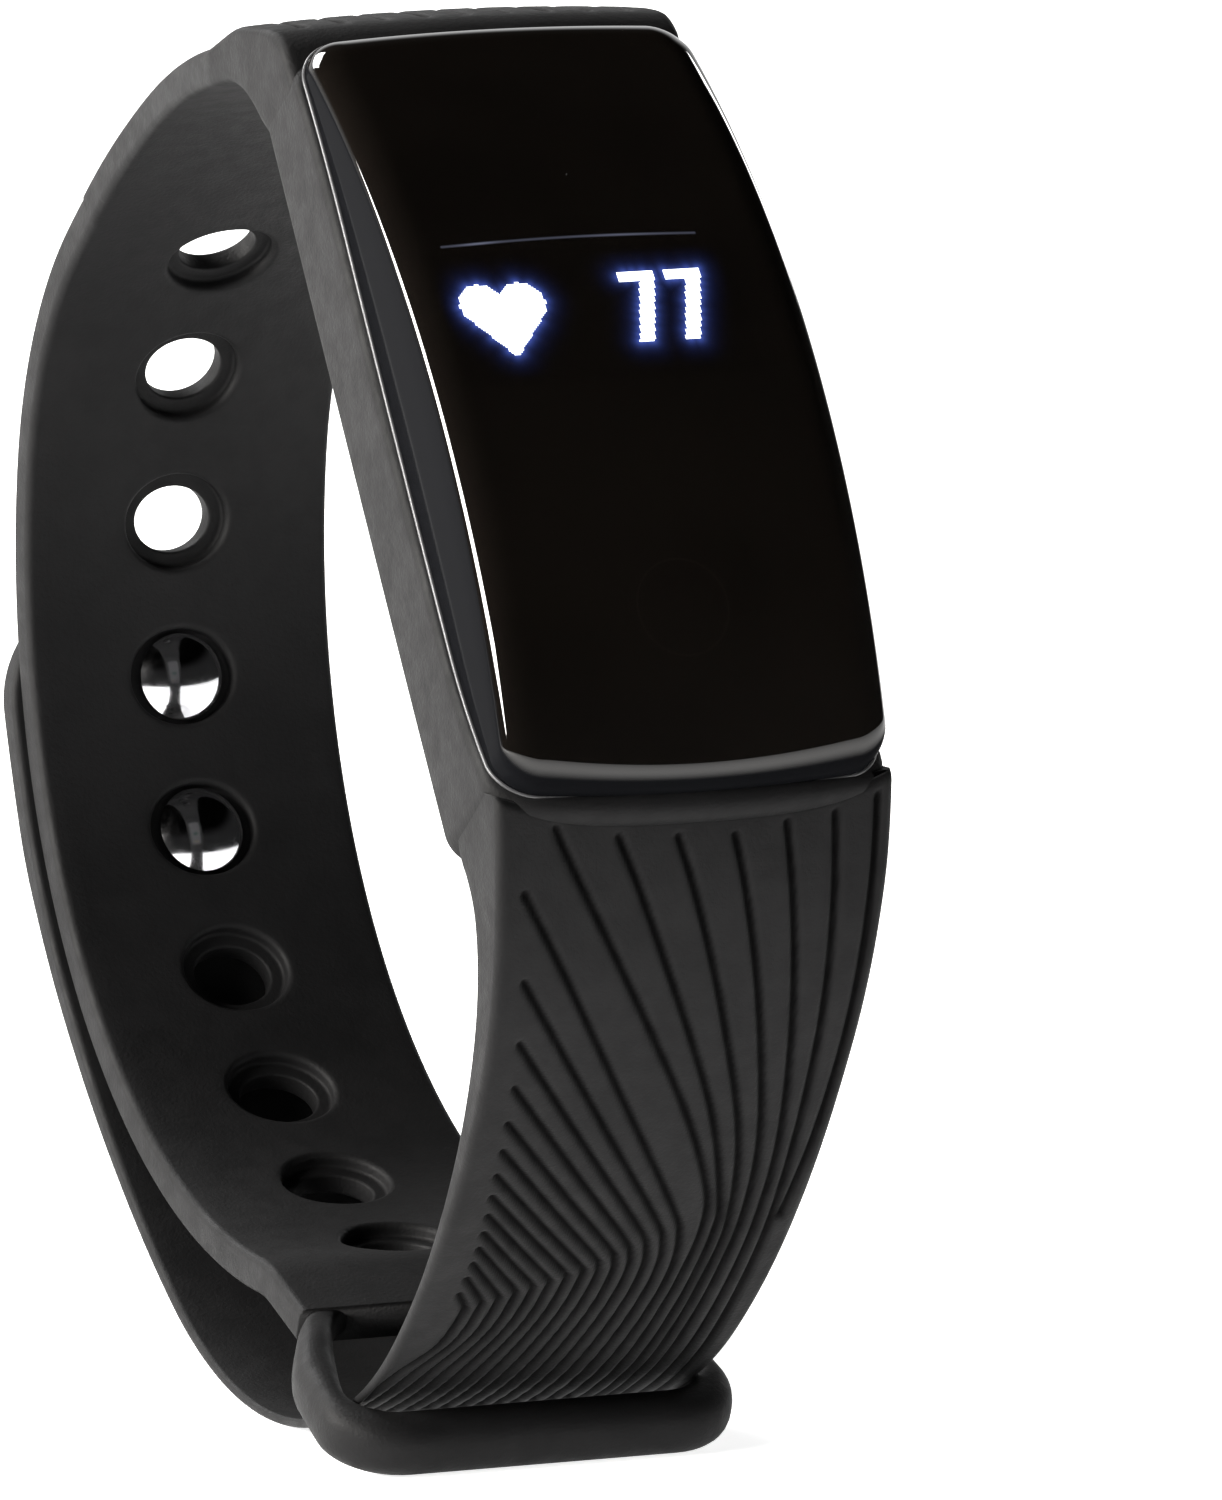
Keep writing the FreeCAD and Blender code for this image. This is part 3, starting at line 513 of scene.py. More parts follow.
def ridged_section(s):
    """Outline of the strap at length s, with the rounding of its free end."""
    half, thick = float(ridge_half(s)), float(root_thick(s))
    outer, inner = RIDGE_T, RIDGE_T - thick
    if s < 0.4:                                   # tucked in under the lip
        outer -= 0.25 * (1 - s / 0.4) ** 2
    left = TIP - s
    if left < TIP_ROUND:
        half = half - TIP_ROUND + math.sqrt(max(0.0, TIP_ROUND ** 2 - (TIP_ROUND - left) ** 2))
    if left < TIP_RIM:
        ease = TIP_RIM - math.sqrt(max(0.0, TIP_RIM ** 2 - (TIP_RIM - left) ** 2))
        outer, inner = outer - ease, inner + ease
    bulge = 0.0
    for index in STUD_HOLES:                      # the studs push the soft strap out a little
        bulge += 0.12 * math.exp(-((s - stud_s(index)) / 2.4) ** 2)
    edge = min(0.42, (outer - inner) * 0.45)
    sec = ring_section(half, inner, outer + bulge, edge, min(0.3, (outer - inner) * 0.4), FACE_POINTS)
    u = sec[:FACE_POINTS, 0] / max(half, 1e-6)
    sec[:FACE_POINTS, 1] += CROWN * (1 - u * u) * min(1.0, max(0.0, s / 3)) * (1 if left > 1 else left)
    return sec


def ridged_skin(name, stations):
    """Swept strap with cuts across its outer face."""
    sections = np.array([ridged_section(s) for s in stations])
    near = cut_depth(sections[:, :FACE_POINTS, 0], stations, chevron_lines())
    sections[:, :FACE_POINTS, 1] -= 0.30 * lane(1 - near / 0.29)
    where = [ridge.frame(s) for s in stations]
    verts = sweep(sections, [w[0] for w in where], [w[1] for w in where])
    top = 3.0                                     # length that follows the cradle's lip
    for i, s in enumerate(stations):
        if s > top:
            break
        for j, (x, off) in enumerate(sections[i]):
            shift = 0.15 - 1.25 * min(1.0, abs(x) / 9.4) ** 3
            base, out = ridge.frame(s + shift * lane((top - s) / top))
            verts[i, j] = row((x, *(base + out * off)))
    n, m = verts.shape[:2]
    faces = quads(n, m, close_v=True, flip=True)
    faces += [list(range(m)), list(range((n - 1) * m, n * m))[::-1]]
    obj = build(name, verts, faces, RUBBER, None)
    mark = np.zeros((n, m))
    mark[:, :FACE_POINTS] = cut_mark(near)
    # the cut mark also darkens the groove bottoms in the rubber's colour: painted shade
    paint(obj, "cut", mark)
    return obj


FINE_END = 37.5                     # stations are close together up to here and at the free end
ridged_s = np.concatenate([np.arange(0.0, 0.6, 0.08), np.arange(0.6, FINE_END, 0.15),
                           np.arange(FINE_END, TIP - 5.4, 0.5), np.arange(TIP - 5.4, TIP - 0.4, 0.16),
                           TIP - TIP_RIM * (1 - np.sin(np.linspace(0, math.pi / 2, 7)))])
ridged = ridged_skin("ridged_strap_skin", ridged_s)
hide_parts("ridged_strap", "ridged_strap_end")

# ------------------------------------------------------------------ perforated strap
HOLE_WIDE, HOLE_NARROW = (2.5, 2.2), (1.83, 1.5)     # half sizes at the wrist face and at the back
HOLE_STEP = 0.65                    # depth where the hole narrows
CELL_STEPS = 12                     # points along one hole's length of strap
HOLES_START = BIG + FIRST - PITCH / 2
HOLES_END = HOLES_START + HOLES * PITCH
TAIL_START = 11.9                   # the lower end, inside the strap loop
perf_half = smooth_table([(0, PERF_HALF), (perf.length - 26, PERF_HALF), (perf.length - 20, 7.6),
                          (perf.length - 14, 7.9), (perf.length - 8, 8.5), (perf.length, 9.45)])


def cell(index):
    """One length of strap with its hole: polar grid from the wrist face through to the back."""
    nx, ns = 24, CELL_STEPS
    mid = BIG + FIRST + PITCH * index
    a, b = PERF_HALF - EDGE, PITCH / 2
    side = np.linspace(-1, 1, nx + 1)[:-1]
    up = np.linspace(-1, 1, ns + 1)[:-1]
    box = np.array([(x * a, -b) for x in side] + [(a, y * b) for y in up]
                   + [(-x * a, b) for x in side] + [(-a, -y * b) for y in up])
    angle = np.arctan2(box[:, 1], box[:, 0])
    unit = np.stack([np.cos(angle), np.sin(angle)], -1)

    def oval(size, grow):
        """Outline of the hole, in line with the points of the box."""
        k = 1 / np.sqrt((unit[:, 0] / (size[0] + grow)) ** 2 + (unit[:, 1] / (size[1] + grow)) ** 2)
        return unit * k[:, None]

    mouth, bottom, ledge, back = 0.28, 0.18, 0.14, 0.22     # roundings from the wrist face to the back
    quarter = np.linspace(0, math.pi / 2, 5)
    rings = []                                     # (points, offset)
    for u in np.linspace(0, 1, 9)[:-1]:
        u = 1 - (1 - u) ** 1.3
        rings.append((box * (1 - u) + oval(HOLE_WIDE, mouth) * u, 0.0))
    for t in np.linspace(0, math.pi / 2, 6):
        rings.append((oval(HOLE_WIDE, mouth * (1 - math.sin(t))), mouth * (1 - math.cos(t))))
    for t in quarter:
        rings.append((oval(HOLE_WIDE, -bottom * (1 - math.cos(t))),
                      HOLE_STEP - bottom + bottom * math.sin(t)))
    for t in quarter:
        rings.append((oval(HOLE_NARROW, ledge * (1 - math.sin(t))), HOLE_STEP + ledge * (1 - math.cos(t))))
    for t in quarter:
        rings.append((oval(HOLE_NARROW, back * (1 - math.cos(t))), PERF_T - back + back * math.sin(t)))
    for u in np.linspace(0, 1, 9)[1:]:
        rings.append((oval(HOLE_NARROW, back) * (1 - u) + box * u, PERF_T))
    verts = [(x, *perf.at(mid + ds, off)) for pts, off in rings for x, ds in pts]
    return row(verts), quads(len(rings), len(box), close_v=True)


def long_edge(sign):
    """Rounded edge beside the holes, on one side of the strap."""
    edge_s = HOLES_START + np.arange(HOLES * CELL_STEPS + 1) * PITCH / CELL_STEPS
    arc = np.linspace(0, math.pi / 2, 6)
    prof = [(PERF_HALF - EDGE + EDGE * math.sin(t), EDGE * (1 - math.cos(t))) for t in arc]
    prof += [(PERF_HALF - EDGE + EDGE * math.cos(t), PERF_T - EDGE + EDGE * math.sin(t)) for t in arc]
    grid = [[(sign * x, *perf.at(s, d)) for x, d in prof] for s in edge_s]
    return row(grid), quads(len(edge_s), len(prof), flip=sign < 0)


def resample(line, n):
    """The same line with n evenly spaced points."""
    d = np.concatenate([[0], np.cumsum(np.linalg.norm(np.diff(line, axis=0), axis=1))])
    u = np.linspace(0, d[-1], n)
    return np.stack([np.interp(u, d, line[:, 0]), np.interp(u, d, line[:, 1])], -1)


def root_cuts():
    """Thin cuts (x, s) behind the window, which spread from the holes to the cradle."""
    lines = []
    for k in range(9):
        wide, close = -8.0 + 2.0 * k, -5.6 + 1.4 * k
        lines.append(spline([(close, HOLES_END + 3.5 + abs(k - 4) * 0.6), (close * 1.03, HOLES_END + 9),
                             (0.5 * (wide + close), HOLES_END + 17), (wide * 0.97, perf.length + 4.2)],
                            LINE_STEP))
    return lines


def clear_of_pocket(strip):
    """The middle of the root stops inside the cradle's end wall, short of the pod's pocket."""
    lean = np.array([math.cos(POD_LEAN), math.sin(POD_LEAN)])
    along = (strip[..., 1:] - pod_row(0, 0, 0)[1:]) @ lean / MM
    aside = np.abs(strip[..., 0]) / MM
    corner = np.clip(aside - (POCKET_X - POCKET_ROUND), 0, None)
    pocket_end = POCKET_T - POCKET_ROUND + np.sqrt(np.clip(POCKET_ROUND ** 2 - corner ** 2, 0, None))
    short = np.where(aside < POCKET_X + 0.05, np.clip(pocket_end + 0.12 - along, 0, None), 0)
    strip[..., 1:] += short[..., None] * lean * MM


def root_strip():
    """Plain length up to the cradle and its root: points, faces and the mark of the cuts."""
    n_face, n_root, step = 101, 46, 0.2
    leave = perf.length - 1.2                      # here the root leaves the strap's own route
    # wrist side and outer side of the root, from its start to inside the cradle
    pairs = [(pod(21.0, -3.05), pod(22.65, -1.1)), (pod(20.3, -2.1), pod(21.7, 0.8)),
             (pod(19.6, -1.4), pod(20.9, 2.15)), (pod(18.9, -0.95), pod(20.05, 3.3)),
             (pod(18.2, -0.6), pod(18.9, 3.9)), (pod(17.3, -0.25), pod(17.5, 3.85)),
             (pod(16.3, 0.2), pod(16.4, 3.8))]
    run_s = np.arange(HOLES_END, leave, step)
    last = run_s[-1]
    wrist = resample(spline([perf.at(last), *[p[0] for p in pairs]], 0.5), n_root)
    outside = resample(spline([perf.at(last, PERF_T), *[p[1] for p in pairs]], 0.5), n_root)
    sections, bases, outs = [], [], []
    for s in run_s:
        base, out = perf.frame(s)
        sections.append(ring_section(float(perf_half(s)), 0, PERF_T, EDGE, EDGE, n_face, ni=25))
        bases.append(base)
        outs.append(out)
    for k in range(1, n_root):
        u = k / (n_root - 1)
        thick = float(np.linalg.norm(outside[k] - wrist[k]))
        half = float(perf_half(leave)) * (1 - lane(u * 1.5)) + 9.52 * lane(u * 1.5)
        half -= 0.10 * lane((u - 0.8) / 0.2)       # its end is buried in the cradle
        sections.append(ring_section(half, 0, thick, EDGE + 0.12 * u, EDGE, n_face, ni=25))
        bases.append(wrist[k])
        outs.append((outside[k] - wrist[k]) / thick)
    sections = np.array(sections)
    s_of = np.concatenate([run_s, last + np.arange(1, n_root) * step])
    rise = np.clip((s_of - HOLES_END - 2) / 14, 0, 1)
    u = sections[:, :n_face, 0] / 9.0
    near = cut_depth(sections[:, :n_face, 0], s_of, root_cuts())
    sections[:, :n_face, 1] += 0.35 * (1 - u * u) * rise[:, None] - 0.22 * lane(1 - near / 0.34)
    strip = sweep(sections, bases, outs)
    clear_of_pocket(strip)
    n, m = strip.shape[:2]
    mark = np.zeros((n, m))
    mark[:, :n_face] = cut_mark(near)
    return strip, quads(n, m, close_v=True, flip=True) + [list(range((n - 1) * m, n * m))[::-1]], mark


def tail_piece():
    """The lower end, which runs into the strap loop."""
    tail_s = np.linspace(HOLES_START, TAIL_START, 24)
    where = [perf.frame(s) for s in tail_s]
    section = ring_section(PERF_HALF, 0, PERF_T, EDGE, EDGE, 25, ni=25)
    tail = sweep([section for s in tail_s], [w[0] for w in where], [w[1] for w in where])
    n, m = tail.shape[:2]
    return tail, quads(n, m, close_v=True) + [list(range((n - 1) * m, n * m))]


def perforated_skin(name):
    """The strap in one mesh: lengths with holes, long edges, root and lower end."""
    root, root_faces, root_mark = root_strip()
    pieces = [cell(index) for index in range(HOLES)]
    pieces += [long_edge(1), long_edge(-1)]
    pieces += [(root, root_faces), tail_piece()]
    verts, faces, marks, count = [], [], [], 0
    for points, piece_faces in pieces:
        points = np.asarray(points).reshape(-1, 3)
        verts.append(points)
        faces += [[i + count for i in face] for face in piece_faces]
        count += len(points)
        marks.append(np.zeros(len(points)))
    marks[-2] = root_mark.reshape(-1)
    obj = build(name, np.vstack(verts), faces, RUBBER, None)
    # the cut mark also darkens the groove bottoms in the rubber's colour: painted shade
    paint(obj, "cut", np.concatenate(marks))
    weld(obj.data, 3e-6)
    shade_smooth(obj.data)
    return obj


holed = perforated_skin("perforated_strap_skin")
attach(holed, "band")
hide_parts("perforated_strap")


# ------------------------------------------------------------------ strap loop
def rounded_rect(hx, y0, y1, r, n_arc=10, n_x=14, n_y=40, bulge=0.0):
    """Closed plan outline, same number of points on each stretch, starting at +x, -y corner."""
    pts = []
    t = np.linspace(0, math.pi / 2, n_arc + 1)
    corners = ((hx - r, y0 + r), (hx - r, y1 - r), (-hx + r, y1 - r), (-hx + r, y0 + r))
    for k, (cx, cy) in enumerate(corners):
        a0 = (k - 1) * math.pi / 2
        pts += [(cx + r * math.cos(a0 + a), cy + r * math.sin(a0 + a)) for a in t]
        x, y = pts[-1]
        if k == 0:
            pts += [(hx, v) for v in np.linspace(y, y1 - r, n_y + 1)[1:-1]]
        elif k == 1:
            pts += [(v, y1) for v in np.linspace(x, -hx + r, n_x + 1)[1:-1]]
        elif k == 2:
            pts += [(-hx, v) for v in np.linspace(y, y0 + r, n_y + 1)[1:-1]]
        else:
            pts += [(v, y0) for v in np.linspace(x, hx - r, n_x + 1)[1:-1]]
    p = np.array(pts)
    mid, half = (y0 + y1) / 2, (y1 - y0) / 2
    p[:, 0] *= 1 - bulge / hx * np.clip((p[:, 1] - mid) / half, -1, 1) ** 2
    return p


def loop_mesh():
    """Closed tube between the outline of the loop and the outline of its slot."""
    outside = rounded_rect(9.8, -LOOP_L, -1.8, 3.4, 12, 30, 12)
    inside = rounded_rect(8.3, -(LOOP_L - 2.7), -3.4, 2.0, 12, 30, 12)
    # both narrow towards the strap
    outside[:, 0] *= smooth_table([(-16, 1), (-10.5, 1), (-8.2, 0.975), (-7, 0.93), (-5.3, 0.845),
                                   (-3.5, 0.765), (-1, 0.755)])(outside[:, 1])
    inside[:, 0] *= smooth_table([(-16, 1), (-11, 0.99), (-9, 0.93), (-7, 0.86), (-5, 0.78),
                                  (-3, 0.73)])(inside[:, 1])
    out = []
    for o, i in zip(outside, inside):
        back = lane((o[1] + 6.5) / 3.5)           # 0 at the front, 1 where it joins the strap
        thick = 1.35 * (1 - back) + 0.8 * back
        mid, h = (o + i) / 2, (o - i) / 2
        p = 2.35 + 0.8 * back                      # squareness of the tube's section
        ring = []
        for a in np.linspace(0, 2 * math.pi, 28, endpoint=False):
            cx = math.copysign(abs(math.cos(a)) ** (2 / p), math.cos(a))
            cz = math.copysign(abs(math.sin(a)) ** (2 / p), math.sin(a))
            ring.append((*(mid + h * cx), thick * cz))
        out.append(ring)
    return np.array(out)


ring = loop_mesh()
n, m = ring.shape[:2]
tilt = math.radians(LOOP_TILT)
start, out = perf.frame(LOOP_L)
along = np.array([math.cos(tilt), math.sin(tilt)])
yz = start + ring[:, :, 1:2] * along + (PERF_T / 2 - ring[:, :, 2:3]) * out
loop = build("strap_loop_skin", row(np.concatenate([ring[:, :, 0:1], yz], -1)),
             quads(n, m, close_v=True, close_u=True), RUBBER, "band", merge=True)
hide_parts("strap_loop")


# ------------------------------------------------------------------ cradle
def seam(t):
    """Height of the window's foot: level along the sides, up at the lower end, down at the top."""
    t = np.asarray(t, float)
    return 4.95 + 1.3 * (np.clip(-t - 11, 0, None) / 8.2) ** 2 - 0.5 * (np.clip(t - 9, 0, None) / 9) ** 2


def cradle_mesh():
    """Rings from the ledge round the wrist face and the outer wall to the pocket and back."""
    half_x, base_round, seam_gap = 9.5, 0.4, 0.30           # the wall's top is that far below the seam
    flat = rounded_rect(half_x, -19.4, 18.4, 1.5, bulge=0.05)
    pocket = rounded_rect(POCKET_X, -POCKET_T, POCKET_T, POCKET_ROUND)
    ledge = rounded_rect(6.6, -15.6, 15.6, 2.4)
    low_end = lane((-flat[:, 1] - 17.4) / 2.0)
    belly = flat.copy()                                     # the lower end bulges under its lip
    belly[:, 1] -= low_end * (1.0 - 0.9 * np.abs(flat[:, 0] / half_x) ** 2.5)
    high = seam(belly[:, 1]) - seam_gap
    wide = 0.55 + 0.25 * low_end                            # rounding of the outer top edge
    span = np.linalg.norm(pocket - belly, axis=1)           # thickness of the wall
    seat = wide / span + 0.42 / span                        # where the groove of the window starts
    quarter = np.linspace(0, math.pi / 2, 8)
    rows = []

    def put(line, height):
        rows.append(np.concatenate([line, np.broadcast_to(height, (len(line),))[:, None]], 1))

    def between(outer, u):
        """Line part of the way from the outer one to the pocket."""
        return outer + (pocket - outer) * np.broadcast_to(u, (len(outer),))[:, None]

    put(ledge, 0.1)
    put(ledge + (pocket - ledge) * 0.1, 0.0)
    put(pocket, 0.0)
    put(between(flat, 0.5), 0.0)
    for t in quarter:
        put(between(flat, 0.30 * (1 - math.sin(t))), base_round * (1 - math.cos(t)))
    for v in (0.25, 0.5, 0.75, 0.9):
        put(flat + (belly - flat) * v, base_round + (high - wide - base_round) * v)
    for t in quarter:
        put(between(belly, wide / span * (1 - math.cos(t))), high - wide + wide * math.sin(t))
    for inward, rise in ((-0.12, 0.02), (0, -0.03), (0.06, -0.22), (0.10, -0.8)):
        put(between(belly, seat + inward / span), high + rise)
    put(pocket, 3.2)
    put(pocket, 1.0)
    put(ledge, 1.0)
    put(ledge, 0.1)
    return np.array(rows)


def pod_rings(name, lay, material, body, close_u=False):
    """Object from closed rings of points in the pod's frame."""
    return build(name, pod_row(lay[:, :, 0], lay[:, :, 1], lay[:, :, 2]),
                 quads(*lay.shape[:2], close_v=True, close_u=close_u), material, body, merge=True)


cradle = pod_rings("cradle_skin", cradle_mesh(), RUBBER, "band")
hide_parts("cradle_frame")

# ------------------------------------------------------------------ window
CROWN_R, CROWN_MID, CROWN_PEAK = 48.0, -2.6, 10.3


def crown(t):
    """Height of the window's crown along its length."""
    reach = np.asarray(t, float) - CROWN_MID
    return CROWN_PEAK - CROWN_R + np.sqrt(CROWN_R ** 2 - reach ** 2)


def window_plan(inset, n_arc=12, n_x=30, n_y=90):
    """Outline of the window so far in from its foot, with slightly bowed sides and ends."""
    p = rounded_rect(9.15 - inset, -18.75 + inset, 18.62 - inset, max(0.02, 1.75 - inset * 0.8),
                     n_arc, n_x, n_y)
    p[:, 0] *= 1 + 0.010 * (1 - (p[:, 1] / 19) ** 2) - 0.004
    end = np.clip((np.abs(p[:, 1]) - 12) / 6.5, 0, 1) ** 2
    bow = np.where(p[:, 1] < 0, -0.62, 0.42) * (1 - np.clip(np.abs(p[:, 0]) / 9, 0, 1) ** 2)
    p[:, 1] += end * bow
    return p


outer_plan = window_plan(0.0)
foot = seam(outer_plan[:, 1])


def window_mesh():
    """Rings up the side wall, over its rounding and in across the crown."""
    inner_plan = window_plan(1.55)
    wall = crown(outer_plan[:, 1]) - foot
    soft = np.clip(np.minimum(1.0, wall * 0.8), 0.08, 1.0)  # size of the rounding
    rings = [(outer_plan * 0.97, foot), (outer_plan, foot)]
    rings += [(outer_plan, foot + (wall - soft) * v) for v in (0.35, 0.7)]
    for a in np.linspace(0, math.pi / 2, 14):
        k = soft * (1 - math.cos(a))
        p = outer_plan + (inner_plan - outer_plan) * k[:, None]
        rings.append((p, crown(p[:, 1]) - soft * (1 - math.sin(a))))
    for inset in np.linspace(1.8, 9.12, 17):
        p = window_plan(inset)
        rings.append((p, crown(p[:, 1])))
    rows = [np.column_stack(ring) for ring in rings]
    rows.append(rows[-1] * [0, 1, 1])                       # closes along the middle
    return np.array(rows)


def bead_mesh():
    """Thin bead where the window meets its rim; its grey, lighter than the glass and rubber round it, is a
    painted highlight along the glass's edge.
    """
    size = 0.10
    line = window_plan(-0.02)
    heading = np.roll(line, -1, 0) - np.roll(line, 1, 0)
    heading /= np.linalg.norm(heading, axis=1)[:, None]
    side = np.stack([heading[:, 1], -heading[:, 0]], -1)
    rings = []
    for a in np.linspace(0, 2 * math.pi, 10, endpoint=False):
        rings.append(np.column_stack([line + side * size * math.cos(a), foot - 0.08 + size * math.sin(a)]))
    return np.array(rings)


window = pod_rings("window_skin", window_mesh(), GLASS, "pod")
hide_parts("display_window")
# the bead's light grey is a painted highlight along the window's edge
rim_bead_highlight = plain("rim_bead_highlight", (0.07, 0.07, 0.073), 0.32, scale=900, depth=0, coat=0.2)
rim = pod_rings("window_rim", bead_mesh(), rim_bead_highlight, "pod", close_u=True)

# ------------------------------------------------------------------ what the display shows
STEP = 0.1                          # size of a lit square
GLOW_LIFT, LIT_LIFT = 0.012, 0.02   # height of the glows and of the symbols above the crown


def on_window(points, lift):
    """Points (across, along) of the pod's frame, so far above the crown, in metres."""
    return pod_row(points[..., 0], points[..., 1], crown(points[..., 1]) + lift)


def heart(x, y):
    """Generic heart: two lobes and a straight-sided point, about 4 mm wide."""
    lobes = np.minimum(np.hypot(x + 0.95, y - 0.75), np.hypot(x - 0.95, y - 0.75)) < 1.06
    wedge = (y < 1.0) & (y > -1.9) & (np.abs(x) < (y + 1.95) * 0.86) & (np.abs(x) < 1.98)
    return lobes | wedge


def seven(x, y):
    """Numeral with a slightly leaning stem, 3.6 mm high."""
    bar = (y > 3.05) & (y < 3.62) & (x > 0.15) & (x < 1.85)
    left = 1.1 - 0.27 * (3.3 - y)
    stem = (y > 0) & (y < 3.3) & (x > left + 0.05) & (x < left + 0.74)
    return bar | stem


def glow_piece(name, points, faces, material, fade):
    """Faint light on the window, as strong at each point as the fade says."""
    obj = build(name, on_window(points, GLOW_LIFT), faces, material, "pod")
    paint(obj, "fade", fade)
    return obj


def halo_fade(spot, lit_xy):
    """Strength of the light round the symbols, gone at the edges of the halo."""
    dist = np.full(len(spot), 9.0)
    for point in lit_xy[::3]:
        dist = np.minimum(dist, np.hypot(*(spot - point).T))
    fade = 0.50 * np.exp(-(dist / 0.20) ** 1.3) + 0.035 * np.exp(-(dist / 0.7) ** 2)
    x, y = spot.T
    return fade * (lane((x - HALO_X[0]) / 0.8) * lane((HALO_X[1] - x) / 0.8)
                   * lane((y - HALO_Y[0]) / 0.6) * lane((HALO_Y[1] - y) / 0.6))


# heart and numerals
gx, gy = np.meshgrid(np.arange(-7.6, 5.6, STEP), np.arange(-0.6, 5.2, STEP), indexing="ij")
shown = heart(gx + 5.1, gy - 2.1) | seven(gx - 0.52, gy - 0.55) | seven(gx - 2.7, gy - 0.55)
lit_xy = np.stack([gx[shown], gy[shown]], -1)
square = np.array([(-1, -1), (1, -1), (1, 1), (-1, 1)]) * STEP / 2
pix = (lit_xy[:, None, :] + square).reshape(-1, 2)
symbols = build("display_symbols", on_window(pix, LIT_LIFT), np.arange(len(pix)).reshape(-1, 4).tolist(),
                lit("display_lit", (0.86, 0.92, 1.0), 4.0), "pod", merge=True)

# soft halo round the symbols
HALO_X, HALO_Y = (-8.2, 6.2), (-1.2, 5.6)
halo_grid = np.meshgrid(np.linspace(*HALO_X, 145), np.linspace(*HALO_Y, 69), indexing="ij")
spot = np.stack(halo_grid, -1).reshape(-1, 2)
halo = glow_piece("display_halo", spot, quads(145, 69), glow("display_glow", (0.10, 0.17, 0.75), 1.3),
                  halo_fade(spot, lit_xy))

# faint upper edge of the panel, brightest near its left end
line_x = np.linspace(-7.1, 5.0, 60)
strip_xy = np.array([[(x, 6.02 + 0.16 * math.sin((x + 7) / 12 * math.pi) + w) for x in line_x]
                     for w in (-0.09, 0.0, 0.09)])
edge_fade = np.zeros((3, 60))
edge_fade[1] = (0.30 + 0.5 * np.exp(-((line_x + 5.3) / 0.8) ** 2)
                + 0.25 * np.exp(-((line_x - 1.5) / 1.6) ** 2))
edge_line = glow_piece("panel_edge", strip_xy, quads(3, 60),
                       glow("panel_edge_glow", (0.30, 0.32, 0.45), 0.6), edge_fade)

# touch mark: a faint ring
t = np.linspace(0, 2 * math.pi, 64, endpoint=False)
mark = np.array([[(r * math.cos(a), -11.9 + r * math.sin(a)) for a in t] for r in (2.05, 2.13, 2.21)])
touch = glow_piece("touch_mark", mark, quads(3, 64, close_v=True),
                   glow("touch_mark_glow", (0.25, 0.20, 0.17), 0.05), np.repeat([0.0, 0.5, 0.0], 64))

# ------------------------------------------------------------------ finishes of the other CAD nodes
finishes = {
    "case_plastic": plain("case_finish", (0.028, 0.028, 0.03), 0.5, scale=3000),
    "bond": plain("bond_finish", (0.05, 0.05, 0.05), 0.45, scale=1200),
    "gasket_rubber": plain("gasket_finish", (0.02, 0.02, 0.02), 0.7, scale=2500),
    "sensor_glass": plain("sensor_glass_finish", (0.03, 0.045, 0.04), 0.06, depth=0, coat=1.0),
    "contact_gold": plain("contact_finish", (0.86, 0.66, 0.32), 0.22, metallic=1.0, depth=0.000004),
    "board": plain("board_finish", (0.02, 0.13, 0.06), 0.4, scale=1800, coat=0.3),
    "chip": plain("chip_finish", (0.02, 0.02, 0.022), 0.5, scale=3500),
    "can_steel": plain("can_finish", (0.62, 0.62, 0.64), 0.3, metallic=1.0, depth=0.000005),
    "ceramic_chip": plain("ceramic_finish", (0.72, 0.74, 0.7), 0.35, scale=2000),
    "panel_glass": plain("panel_finish", (0.015, 0.02, 0.035), 0.08, depth=0, coat=1.0),
    "flex_film": plain("flex_finish", (0.5, 0.24, 0.05), 0.35, scale=1500, coat=0.4),
    "electrode": plain("electrode_finish", (0.75, 0.42, 0.25), 0.35, metallic=1.0, depth=0.000004),
    "cell_foil": plain("foil_finish", (0.66, 0.67, 0.7), 0.38, metallic=1.0, scale=900, depth=0.00003),
    "foam": plain("foam_finish", (0.14, 0.14, 0.15), 0.9, scale=4000, depth=0.00006),
    "weight_metal": plain("weight_finish", (0.42, 0.42, 0.43), 0.35, metallic=1.0, depth=0.000006),
    "shield_plastic": plain("shield_finish", (0.015, 0.015, 0.015), 0.6, scale=2600),
    "led_resin": plain("led_finish", (0.45, 0.8, 0.4), 0.15, depth=0, coat=0.8),
    "diode_resin": plain("diode_finish", (0.05, 0.05, 0.07), 0.12, depth=0, coat=0.8),
    "clasp_metal": CHROME,
    "strap_rubber": RUBBER,
    "window_glass": GLASS,
}
slot_of = {p["node"]: p["material_slot"] for p in frame["record"]["subparts"]}
for name, obj in frame["nodes"].items():
    obj.data.materials.clear()
    obj.data.materials.append(finishes[slot_of[name]])
plate = frame["nodes"]["clasp_plate"]
plate.data.materials.clear()
plate.data.materials.append(polished("plate_satin", (0.30, 0.30, 0.31), 0.34))

# ------------------------------------------------------------------ floor, light, camera
def white_floor():
    """Bright, dull floor that gives some light of its own."""
    m, tree, shader = node_material("floor_white")
    cloud = ramp(tree, grain(tree, 4), 0.3, 0.7, 0, 1)
    tree.links.new(tint(tree, cloud, (0.93, 0.93, 0.93), (0.95, 0.95, 0.95)), shader.inputs["Base Color"])
    shader.inputs["Roughness"].default_value = 0.9
    shader.inputs["Specular IOR Level"].default_value = 0.1
    shader.inputs["Emission Color"].default_value = (1, 1, 1, 1)
    shader.inputs["Emission Strength"].default_value = 0.85
    return m


